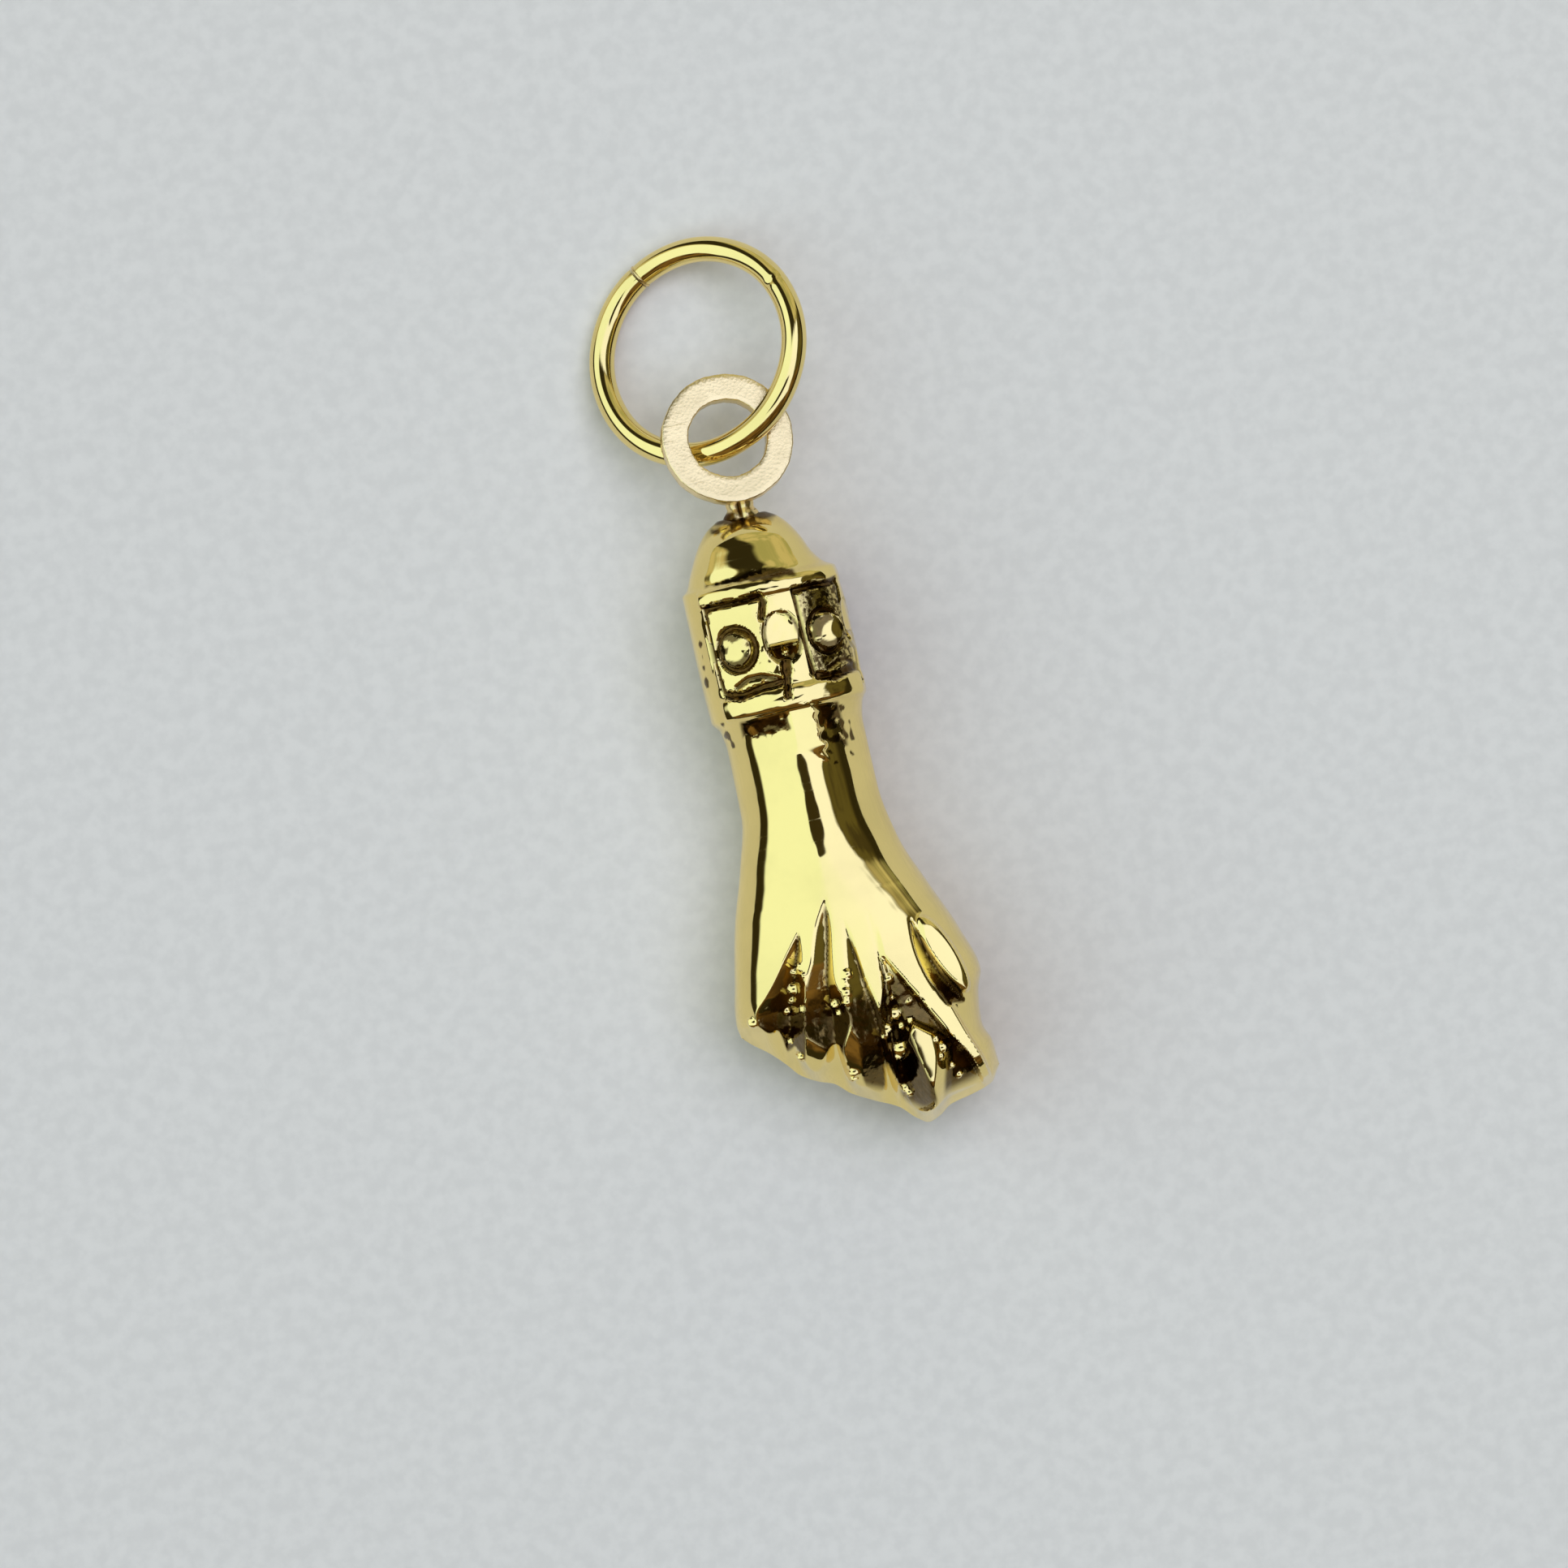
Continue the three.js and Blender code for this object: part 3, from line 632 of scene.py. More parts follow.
@dataclass
class CuffPattern:
    """The band of bosses and pointed drops round the cuff, repeated by a fixed turn."""

    radius: float = 1.87
    repeats: int = 5
    boss_turn: float = -29.0
    drop_turn: float = 7.0
    boss_y: float = -3.1
    boss_radius: float = 0.5
    groove_width: float = 0.09
    groove_depth: float = 0.1
    drop_half: float = 0.4
    drop_step: float = 0.76
    band: tuple[float, float] = (-1.38, 1.3)
    bars: tuple[tuple[float, float, float], ...] = ((-1.8, 0.2, 0.08), (-4.46, 0.28, 0.09))
    grooves: tuple[tuple[Points, float, float], ...] = (
        (((-0.62, -2.04), (-0.2, -1.99), (0.35, -2.01), (0.86, -1.99)), 0.1, 0.08),
        (((0.86, -1.99), (0.93, -2.14), (0.86, -2.32), (0.8, -2.5)), 0.09, 0.07),
        (((-0.66, -2.02), (-0.7, -2.6), (-0.68, -3.5), (-0.62, -4.02)), 0.09, 0.06),
        (((-0.5, -4.1), (-0.1, -4.2), (0.4, -4.1), (0.9, -4.06)), 0.12, 0.08),
        (((-0.2, -3.98), (0.16, -3.84), (0.5, -3.84), (0.86, -3.98)), 0.08, 0.05),
        (((1.14, -3.6), (1.09, -3.85)), 0.14, 0.09),
        (((1.09, -3.85), (1.05, -4.1), (1.0, -4.42)), 0.1, 0.08),
        (((1.7, -2.04), (1.78, -2.3), (1.72, -2.52)), 0.08, 0.05),
    )

    def arc(self, angle: Array, start: float, before: float = 0.5) -> Array:
        """Distance round the cuff from the nearest repeat, a share of which lies before its start."""
        step = 360 / self.repeats
        return np.radians((angle - start + step * before) % step - step * before) * self.radius

    def drop(self, across: Array, down: Array) -> tuple[Array, Array, Array, Array]:
        """Shape of a pointed drop: a shallow upper half, a step, a sunk lower half and a pearl on it.

        Args:
            across: distance from its middle line.
            down: distance below its top.

        Returns:
            Its depth, its rim, its pearl's height and a mask that is 1 on the lower half, which is painted dark as
            shade.
        """
        half = self.drop_half * rounded(down - 0.6, 0.62)
        there = half > 0.02
        inside = unit(1 - (across / np.maximum(half, 0.01)) ** 2) ** 0.25 * there
        past_step = down - self.drop_step
        upper = unit(0.09 - 0.04 * down) * soft(-past_step, 0, 0.05)
        lower = unit(0.3 - 0.62 * past_step) * soft(past_step, 0, 0.04)
        pearl = 0.12 * rounded(np.hypot(across - 0.02, down - 0.91), 0.1)
        rim = rounded(np.abs(across) - half - 0.02, 0.06) * there
        return np.maximum(upper, lower) * inside, rim, pearl, soft(past_step, -0.01, 0.02) * inside * (pearl < 0.02)

    def boss_reflections(self, angle: Array, y: Array, across: Array, reach: Array) -> Array:
        """Painted dark reflections on the bosses: broken patches at the upper left and a crescent below.

        Args:
            angle: turn round the arm in degrees.
            y: position along the arm.
            across: distance round the cuff from the boss.
            reach: distance from the boss's middle.

        Returns:
            A mask that is 1 on the marks.
        """
        up = y - self.boss_y
        uneven = lattice_noise(np.stack([angle / 32, y], -1), 0.3, 11)
        upper_left = soft(up - across, 0.0, 0.25)
        upper_left_patches = soft(uneven + 0.55 * upper_left, 0.0, 0.2) * soft(0.5 - reach, 0, 0.05)
        upper_left_patches = upper_left_patches * soft(reach + 0.14 * upper_left, 0.24, 0.3)
        crescent = soft(0.1 * uneven - 0.14 - up, 0, 0.06) * soft(reach, 0.24, 0.28)
        return np.maximum(upper_left_patches, crescent * soft(0.46 - reach, 0, 0.04))

    def relief(self, angle: Array, y: Array) -> tuple[Array, Array, Array]:
        """Height of the pattern.

        Args:
            angle: turn round the arm in degrees, 0 on top.
            y: position along the arm.

        Returns:
            The height above the plain cuff, a mask that is 1 on stippled ground and one that is 1 where shade and dark
            reflections are painted: in the grooves, on the drops' rims and lower halves and on the bosses.
        """
        up = y - self.boss_y
        across, along_plate = self.arc(angle, self.boss_turn), self.arc(angle, self.boss_turn, 0.3)
        cut = np.zeros_like(y)
        for path, half_width, depth in self.grooves:
            cut = np.maximum(cut, depth * rounded(path_distance(path, along_plate, y), half_width))
        reach = np.hypot(across, up)
        ring = rounded(reach - self.boss_radius, self.groove_width)
        bulge = unit(1 - (reach / (self.boss_radius - 0.04)) ** 2)
        lean = 0.32 * across * soft(angle, 12, 32) * soft(0.47 - reach, 0, 0.06)
        boss = 0.05 * np.sqrt(bulge) + 0.03 * bulge + lean
        hollow, rim, pearl, painted_shade_half = self.drop(self.arc(angle, self.drop_turn), 0.65 - up)
        height = boss + pearl - np.maximum.reduce([cut, self.groove_depth * ring, hollow, 0.05 * rim])

        stipple = soft(0.78 - np.abs(along_plate - 0.1), 0, 0.06) * soft(up, -0.95, -0.9) * soft(1.07 - up, 0, 0.07)
        stipple = stipple * soft(reach - self.boss_radius, 0.03, 0.1) * soft(angle, 23, 28)
        lines = np.maximum(soft(cut / 0.07, 0.25, 0.75), soft(ring, 0.3, 0.85))
        # Painted shade in the grooves, on the rims and on the drops' lower halves, and painted dark reflections on the
        # bosses.
        cuff_shade = np.maximum.reduce([lines, 0.8 * rim, 0.9 * self.boss_reflections(angle, y, across, reach), 0.95 * painted_shade_half])
        in_band = (up > self.band[0]) & (up < self.band[1])
        bars = sum(high * rounded(y - middle, half) for middle, half, high in self.bars)
        return bars + height * in_band, stipple * in_band, cuff_shade * in_band


ARM_HEIGHTS: Points = (
    (-0.05, 0.34), (-0.2, 0.58), (-0.45, 0.88), (-0.65, 1.05), (-0.9, 1.16), (-1.2, 1.28), (-1.5, 1.38),
    (-1.62, 1.48), (-4.65, 1.7), (-4.9, 1.6),
)
CUFF_FULLNESS: Points = ((-0.05, 2.0), (-1.5, 2.5), (-2.0, 2.9), (-4.6, 2.9))


@dataclass
class HandForm:
    """Outline, thickness and folds of the closed hand, in millimetres from the top of the arm.

    Curves run along the arm, except for bottom, end_length and end_slope, which run across the knuckles. Beads are
    given as (across, along, radius), and the marks painted darker along the sides as a path with its half width.
    """

    arm_top: float = -0.05
    dome_end: float = -1.52
    cuff_end: float = -4.8
    fist_start: float = -9.2
    corner_left: float = -12.0
    corner_right: float = -13.9
    seam: float = 0.04
    side_wall: float = 0.36
    ridge: float = 0.014
    columns: int = 210
    arm_rows: int = 262
    fist_rows: int = 150
    left: SoftCurve = SoftCurve(
        (-0.05, -0.6), (-0.2, -0.86), (-0.45, -1.1), (-0.8, -1.32), (-1.2, -1.52), (-1.5, -1.66), (-1.62, -1.79),
        (-3.1, -1.8), (-4.65, -1.76), (-4.9, -1.6), (-5.4, -1.53), (-6.9, -1.55), (-8.15, -1.85), (-9.4, -2.25),
        (-10.6, -2.53), (-11.7, -2.72), (-12.0, -2.67),
    )
    right: SoftCurve = SoftCurve(
        (-0.05, 0.55), (-0.2, 0.8), (-0.45, 1.03), (-0.8, 1.24), (-1.2, 1.42), (-1.5, 1.66), (-1.62, 1.86),
        (-3.1, 1.96), (-4.65, 1.94), (-4.9, 1.82), (-5.4, 1.73), (-6.9, 1.74), (-8.15, 1.94), (-9.4, 2.41),
        (-10.56, 2.89), (-11.6, 3.17), (-12.1, 3.0), (-12.65, 2.93), (-13.3, 3.08), (-13.9, 3.11),
    )
    bottom: SoftCurve = SoftCurve(
        (-2.67, -12.0), (-2.47, -12.2), (-2.1, -12.5), (-1.78, -12.83), (-1.5, -13.16), (-1.1, -13.4),
        (-0.78, -13.52), (-0.44, -13.82), (0.05, -14.1), (0.6, -14.38), (0.95, -14.72), (1.22, -14.88), (1.5, -14.78),
        (1.8, -14.58), (2.4, -14.44), (2.85, -14.28), (3.11, -13.9),
    )
    back_of_hand: SoftCurve = SoftCurve(
        *ARM_HEIGHTS, (-5.4, 1.51), (-7.0, 1.46), (-7.6, 1.463), (-8.2, 1.485), (-8.8, 1.545), (-9.6, 1.645),
        (-11.0, 1.82), (-12.5, 1.98), (-14.9, 2.0),
    )
    palm: SoftCurve = SoftCurve(
        *ARM_HEIGHTS, (-5.4, 1.54), (-7.0, 1.55), (-8.4, 1.68), (-9.8, 1.9), (-11.3, 2.03), (-14.9, 2.0),
    )
    left_sharpness: SoftCurve = SoftCurve(
        (-0.05, 2.0), (-5.0, 2.0), (-6.2, 1.85), (-8.4, 1.55), (-9.4, 1.9), (-10.6, 2.4), (-14.9, 2.5),
    )
    right_sharpness: SoftCurve = SoftCurve(
        (-0.05, 2.0), (-5.0, 2.0), (-7.2, 2.0), (-7.9, 2.25), (-8.5, 2.6), (-9.5, 3.6), (-10.5, 4.0), (-14.9, 4.0),
    )
    left_fullness: SoftCurve = SoftCurve(
        *CUFF_FULLNESS, (-5.3, 1.95), (-6.2, 1.75), (-7.5, 1.78), (-9.0, 2.05), (-10.6, 2.7), (-11.6, 3.0),
        (-14.9, 3.0),
    )
    right_fullness: SoftCurve = SoftCurve(
        *CUFF_FULLNESS, (-5.3, 1.5), (-5.8, 1.4), (-7.4, 1.4), (-8.5, 1.6), (-9.5, 1.7), (-11.0, 2.0), (-14.9, 2.0),
    )
    end_length: SoftCurve = SoftCurve(
        (-2.6, 1.1), (-1.8, 1.2), (-1.3, 2.4), (-0.2, 2.6), (0.4, 2.6), (0.75, 1.4), (1.4, 0.9), (3.2, 0.9),
    )
    end_slope: SoftCurve = SoftCurve(
        (-2.7, 2.0), (-2.1, 2.0), (-1.75, 1.15), (-1.5, 1.2), (-1.15, 3.2), (-0.9, 2.2), (-0.52, 1.12), (-0.2, 3.0),
        (0.15, 2.6), (0.5, 1.1), (0.75, 2.2), (1.2, 5.0), (3.2, 5.0),
    )
    back_creases: tuple[Crease, ...] = (
        Crease((
            (-9.7, -0.78, 1.6), (-10.3, -0.95, 1.45), (-10.7, -1.1, 1.35), (-11.2, -1.25, 1.15), (-11.6, -1.4, 0.92),
            (-12.0, -1.5, 0.86), (-12.4, -1.65, 0.6), (-12.95, -1.8, 0.1),
        ), 0.44, 2.0),
        Crease((
            (-9.2, -0.04, 1.6), (-9.9, -0.15, 1.53), (-10.6, -0.3, 1.56), (-11.2, -0.43, 1.49), (-11.7, -0.45, 1.31),
            (-12.1, -0.48, 1.22), (-12.6, -0.55, 1.3), (-13.6, -0.78, 0.4),
        ), 0.42, 1.7),
        Crease((
            (-9.8, 0.27, 1.69), (-10.5, 0.35, 1.68), (-11.3, 0.42, 1.7), (-12.1, 0.5, 1.6), (-12.7, 0.52, 1.5),
            (-13.2, 0.5, 1.2), (-13.95, 0.45, 0.5),
        ), 0.45, 3.0),
        Crease((
            (-9.8, 0.86, 1.67), (-10.6, 0.88, 1.77), (-11.4, 0.9, 1.78), (-12.1, 0.8, 1.65), (-13.2, 0.74, 1.45),
            (-13.8, 0.7, 1.3), (-14.2, 0.62, 1.0), (-14.5, 0.6, 0.6),
        ), 2.0, 0.95),
        Crease((
            (-10.1, 1.8, 1.53), (-10.7, 1.92, 1.48), (-11.3, 2.1, 1.42), (-11.9, 2.4, 1.33), (-12.25, 2.62, 1.25),
        ), 1.3, 1.6),
    )
    palm_creases: tuple[Crease, ...] = (
        Crease(((-10.1, -1.45, 1.68), (-11.4, -1.6, 1.25), (-12.4, -1.7, 0.75), (-12.95, -1.82, 0.1)), 1.0, 1.0),
        Crease(((-10.0, -0.5, 1.87), (-11.8, -0.62, 1.4), (-13.0, -0.7, 0.9), (-13.6, -0.78, 0.1)), 1.0, 1.0),
        Crease(((-10.3, 0.5, 1.95), (-12.4, 0.52, 1.45), (-13.7, 0.56, 0.9), (-14.5, 0.6, 0.1)), 1.0, 1.0),
        Crease(((-11.2, 1.2, 1.95), (-12.8, 1.5, 1.45), (-13.9, 1.7, 0.9), (-14.7, 1.82, 0.1)), 1.1, 1.0),
        Crease((
            (2.5, -10.5, 0.75), (1.3, -10.2, 1.45), (-0.2, -10.25, 1.55), (-1.2, -11.0, 1.6), (-2.3, -11.9, 1.3),
            (-3.1, -12.4, 0.2),
        ), 0.8, 0.75, True),
    )
    pocket_left: SoftCurve = SoftCurve((-10.9, 0.92), (-11.6, 0.92), (-12.3, 0.84), (-13.2, 0.76), (-14.6, 0.6))
    index_left: SoftCurve = SoftCurve(
        (-10.8, 1.0), (-11.5, 1.36), (-12.15, 1.7), (-12.9, 2.1), (-13.6, 2.5), (-14.4, 2.72),
    )
    index_right: SoftCurve = SoftCurve(
        (-10.6, 1.72), (-11.5, 2.02), (-12.3, 2.3), (-13.0, 2.52), (-13.8, 2.78), (-14.4, 2.86),
    )
    index_top: float = 1.9
    thumb_base: tuple[float, float, float, float] = (2.38, -11.07, 1.0, 0.3)
    thumb_base_top: float = 1.66
    thumb_lean: float = 0.36
    thumb_middle: SoftCurve = SoftCurve((-12.3, 1.28), (-12.8, 1.4), (-13.4, 1.5), (-14.2, 1.43), (-14.9, 1.3))
    thumb_half: SoftCurve = SoftCurve((-12.35, 0.2), (-12.7, 0.3), (-13.2, 0.22), (-14.2, 0.04), (-14.9, 0.02))
    beads: tuple[tuple[float, float, float], ...] = (
        (-0.95, -10.65, 0.08), (-0.92, -10.86, 0.06), (-1.14, -10.75, 0.06), (-1.22, -11.13, 0.1),
        (-1.33, -11.37, 0.06), (-1.48, -11.6, 0.07), (-1.1, -11.62, 0.07), (-2.3, -11.68, 0.11), (0.08, -11.05, 0.09),
        (0.0, -11.22, 0.07), (-0.03, -11.47, 0.1), (-0.06, -11.68, 0.08), (-0.35, -11.67, 0.09), (-0.3, -11.9, 0.06),
        (1.0, -11.35, 0.09), (0.97, -11.8, 0.06), (0.95, -12.2, 0.12), (0.7, -12.5, 0.1), (0.62, -12.64, 0.07),
        (1.28, -12.42, 0.07), (1.35, -11.98, 0.05), (1.06, -12.5, 0.07), (0.93, -13.0, 0.13), (0.84, -13.16, 0.09),
        (1.75, -12.98, 0.07), (1.87, -13.2, 0.09), (1.8, -13.38, 0.06), (2.0, -13.65, 0.06), (2.12, -13.9, 0.07),
        (-1.37, -12.7, 0.09), (-0.25, -13.32, 0.1), (-0.29, -13.46, 0.07), (0.83, -13.95, 0.08), (0.9, -14.08, 0.07),
        (-1.55, -12.3, 0.06),
    )
    darkened_marks: tuple[tuple[Points, float], ...] = (
        (((-1.6, -2.6), (-1.62, -3.15)), 0.05), (((-1.63, -3.3), (-1.65, -3.8)), 0.045),
        (((-1.5, -4.75), (-1.36, -5.3)), 0.06), (((1.28, -4.9), (1.23, -5.4), (1.3, -6.0)), 0.08),
        (((1.42, -5.3), (1.38, -5.7)), 0.05),
    )
    cuff: CuffPattern = field(default_factory=CuffPattern)

    def skin(self, side: Side, rows: Array, columns: int, wall: float = 0.0) -> Skin:
        """Shape of one half.

        Args:
            side: which half.
            rows: for each row its left end, right end and how far it takes the bottom's shape.
            columns: steps from left to right.
            wall: 0 for the outside, else the wall's thickness for the smooth inside.

        Returns:
            The skin.
        """
        row_left, row_right, bend = (rows[:, k : k + 1] for k in range(3))
        share = np.linspace(0, 1, columns + 1)[None, :]
        even = 0.6 * bend**0.4
        u = (1 - np.cos(np.pi * share)) / 2 * (1 - even) + share * even
        left = self.left(row_left) + wall
        right = self.right(row_right) - wall
        middle = (left + right) / 2
        s = np.clip(2 * u - 1, -1, 1)
        x = middle + s * (right - left) / 2
        (x0, x1), (y0, y1) = self.bottom.at[[0, -1]], self.bottom.value[[0, -1]]
        chord = y0 + (y1 - y0) * (x - x0) / (x1 - x0)
        inset = wall * 2
        floor = self.bottom(x)
        y = row_left + (row_right - row_left) * u + bend * (floor - chord) + inset * bend
        sharp = np.where(s < 0, self.left_sharpness(y), self.right_sharpness(y))
        full = np.where(s < 0, self.left_fullness(y), self.right_fullness(y))
        section = unit(1 - np.abs(s) ** sharp) ** (1 / full)
        end = rounded(1 - unit((y - floor - inset) * 0.95 / self.end_length(x)), 1.0)
        on_back = side is Side.BACK_OF_HAND
        hidden = wall + 0.07 + 0.7 * unit((self.fist_start + 1 - y) / 1.5) if wall else 0.0
        thick = (self.back_of_hand if on_back else self.palm)(y) - hidden
        skin = Skin(x, y, thick * section * end, np.zeros_like(x), np.zeros_like(x))
        if wall:
            return skin
        pocket = 0.0
        if on_back:
            pocket, rough = self.pocket(skin)
            skin.z += np.maximum(self.index_back(skin, end), self.thumb_root(skin)) * unit(skin.z / 0.4)
            web, ragged = self.under_cuff(skin)
            skin.z += web * np.clip(1.7 + 0.19 * (y + 4.66) - skin.z, 0, 0.2)
            # Darkens the pocket's floor as painted shade, and the ragged ground as described in under_cuff.
            skin.shade_and_rough_ground = np.maximum(rough, 0.95 * ragged)
            self.lower(skin, self.end_slope(x) * np.maximum(y - floor, 0))
        # Each fold is cut in. Its bottom is painted as shade, and on the back of the hand its walls are painted dark
        # as reflections, more so toward the finger tips.
        near_tip = soft(-y, 11.3, 11.9)
        for fold in self.back_creases if on_back else self.palm_creases:
            level, mask = fold.carve(skin)
            cut_away = skin.z - level
            walls = soft(cut_away, 0.1 - 0.15 * near_tip, 0.3 - 0.27 * near_tip)
            painted_wall_reflection = on_back * (0.5 + 0.42 * near_tip) * walls
            skin.shade_and_rough_ground = np.maximum.reduce([skin.shade_and_rough_ground, mask * soft(cut_away, 0, 0.06), painted_wall_reflection])
            self.lower(skin, level)
        skin.z = np.maximum(skin.z - pocket * unit(skin.z / 0.9), 0)
        if on_back:
            skin.shade_and_rough_ground *= soft(y - floor, 0.2, 0.5)
            self.add_beads(skin)
        self.add_cuff(skin, side, middle)
        return skin

    def lower(self, skin: Skin, level: Array) -> None:
        """Takes a skin down to a level, with a slightly rounded ridge where the two meet."""
        over = skin.z - level
        skin.z = skin.z - (over + np.hypot(over, self.ridge)) / 2 * unit(skin.z / self.ridge / 8)

    def pocket(self, skin: Skin) -> tuple[Array, Array]:
        """Makes the hollow beside the index finger, with the thumb's tip standing in it.

        Args:
            skin: the back of the hand.

        Returns:
            The hollow's depth, and a mask that is 1 on its rough floor.
        """
        x, y = skin.x, skin.y
        inside = soft(x - self.pocket_left(y), -0.02, 0.12) * soft(self.index_left(y) - x, -0.03, 0.09) * (y < -10.8)
        depth = 0.08 + 0.34 * soft(-y, 10.9, 12.6)
        aside = np.abs(x - self.thumb_middle(y))
        thumb = unit(1 - (aside - self.thumb_half(y)) / 0.42) * soft(-y - 0.9 * aside, 12.35, 12.6)
        rough = inside * soft(-y, 11.0, 11.5) * soft(0.55 - thumb, 0, 0.3)
        return depth * inside * (1 - 0.92 * thumb), 0.93 * rough

    def add_beads(self, skin: Skin) -> None:
        """Adds the small beads of metal that the casting left in the folds.

        Args:
            skin: the back of the hand.
        """
        for bead_x, bead_y, radius in self.beads:
            reach = np.hypot(skin.x - bead_x, skin.y - bead_y) / (1.25 * radius)
            under = skin.z[reach < 1]
            top = under.mean() + 0.5 * under.std() + 0.4 * radius * rounded(reach, 1.0)
            shows = (reach < 1) & (top > skin.z)
            skin.z[shows] = top[shows]
            skin.shade_and_rough_ground[shows] = 0.0

    def index_back(self, skin: Skin, end: Array) -> Array:
        """Brings the index finger's back up level, out to its sharp outer edge.

        Args:
            skin: the back of the hand.
            end: how far the surface has come down at the knuckles, 1 where it hasn't.

        Returns:
            The height to add.
        """
        x, y = skin.x, skin.y
        inside = soft(x - self.index_left(y), -0.05, 0.03) * soft(self.index_right(y) - x, -0.06, 0.02)
        level = (self.index_top - 0.16 * (x - 1.2) + 0.07 * (-y - 11.5)) * end
        return inside * soft(-y, 10.0, 11.6) * unit(level - skin.z)

    def thumb_root(self, skin: Skin) -> Array:
        """Raises the ball of the thumb, a level oval beside the index finger.

        Args:
            skin: the back of the hand.

        Returns:
            The height to add.
        """
        middle_x, middle_y, long_half, short_half = self.thumb_base
        size = math.hypot(self.thumb_lean, 1)
        right, up = (skin.x - middle_x) / size, (skin.y - middle_y) / size
        oval = np.hypot((right * self.thumb_lean - up) / long_half, (right + self.thumb_lean * up) / short_half)
        level = self.thumb_base_top - 0.2 * (skin.x - 2.05) - 0.08 * (skin.y + 11.0) - 0.5 * unit(oval - 0.72) ** 1.5
        return soft(1.08 - oval, 0.0, 0.1) * unit(level - skin.z)

    def under_cuff(self, skin: Skin) -> tuple[Array, Array]:
        """Rough ground painted darker, where the wrist leaves the cuff and the arm meets the eye: a painted shadow of
        the eye at the top of the arm, a painted dark reflection at the foot of the dome, and darkened ragged ground
        and marks below the cuff and along the sides.

        Args:
            skin: the back of the hand.

        Returns:
            Masks that are 1 on the web of metal that runs out of the cuff and 1 on rough ground.
        """
        x, y = skin.x, skin.y
        ragged = lattice_noise(np.stack([x, y], -1), 0.34, 5)
        edge = 0.12 * ragged
        web = soft(x, -0.04, 0.1) * soft(0.76 + edge - x, 0, 0.12) * soft(y + 6.2, 0, 0.5) * (y < -4.66)
        thinning = 1.4 * np.clip((-y - 4.95) / 1.1, 0, 1.2)
        # Rough ground left and right of the web below the cuff, painted darker.
        left = soft(0.05 - x + 0.3 * edge, 0, 0.05) * soft(y + 5.22 + edge, 0, 0.08) * soft(x + 1.15, 0, 0.1)
        right = soft(x - 0.72 - edge, 0, 0.06) * soft(0.8 - thinning - ragged, 0, 0.2) * soft(1.3 - x, 0, 0.1)
        below = np.maximum(left, right * (y > -6.2)) * soft(-y, 4.74, 4.82) * soft(0.75 - ragged, 0, 0.2)
        # Painted shadow of the eye and its solder lump on the top of the arm.
        top = soft(y + 0.3 + edge, 0, 0.12) * soft(0.85 - np.abs(x), 0, 0.1)
        # Painted dark reflection along the foot of the dome.
        foot = 0.06 + 0.13 * unit(1 - np.abs(x - 0.25)) + 0.25 * edge - np.abs(y + 1.5 + 0.12 * np.maximum(x, 0))
        foot = soft(foot, 0, 0.05) * soft(x + 1.25, 0, 0.1) * soft(0.95 - x, 0, 0.1)
        # Marks along the sides, painted darker.
        marks = [soft(half * (0.5 + ragged) - path_distance(path, x, y), 0, 0.02) for path, half in self.darkened_marks]
        return web, np.maximum.reduce([below, top, foot, *marks])

    def add_cuff(self, skin: Skin, side: Side, middle: Array) -> None:
        """Adds the cuff's pattern, which fades out where the cuff is worn plain.

        Args:
            skin: the half's outside.
            side: which half.
            middle: the arm's middle in each row.
        """
        x, y, z = skin.x, skin.y, skin.z
        share = np.clip((x - middle) / ((self.right(y) - self.left(y)) / 2), -1, 1)
        angle = np.degrees(np.arcsin(share))
        relief, stipple, cuff_shade = self.cuff.relief(angle if side is Side.BACK_OF_HAND else 180 - angle, y)
        shown = 1 - soft(-share, 0.77, 0.82) - 0.6 * soft(share, 0.93, 1.0)
        shown = shown * (y < self.dome_end) * (y > self.cuff_end)
        rise = relief * shown / np.maximum(np.hypot(x - middle, z), 1e-6)
        skin.x, skin.z = x + rise * (x - middle), z + rise * z
        skin.shade_and_rough_ground, skin.stipple = np.maximum(skin.shade_and_rough_ground, cuff_shade * shown), stipple * shown

    def rows(self, start: float, arm_count: int, fist_count: int) -> Array:
        """Lays out rows from the top of the arm to the knuckles.

        Args:
            start: the first row's place.
            arm_count: rows down to the fist.
            fist_count: rows of the fist.

        Returns:
            Left end, right end and bend of each row.
        """
        arm = np.linspace(start, self.fist_start, arm_count)
        steps = np.arange(1, fist_count + 1) / fist_count
        t = 0.55 * np.sin(steps * math.pi / 2) + 0.45 * steps
        corners = (self.corner_left, self.corner_right)
        left, right = (self.fist_start + (corner - self.fist_start) * t for corner in corners)
        return np.concatenate([np.stack([arm, arm, 0 * arm], 1), np.stack([left, right, t**2.5], 1)])

    def outer_rows(self) -> Array:
        """The rows of the outside."""
        return self.rows(self.arm_top, self.arm_rows, self.fist_rows)


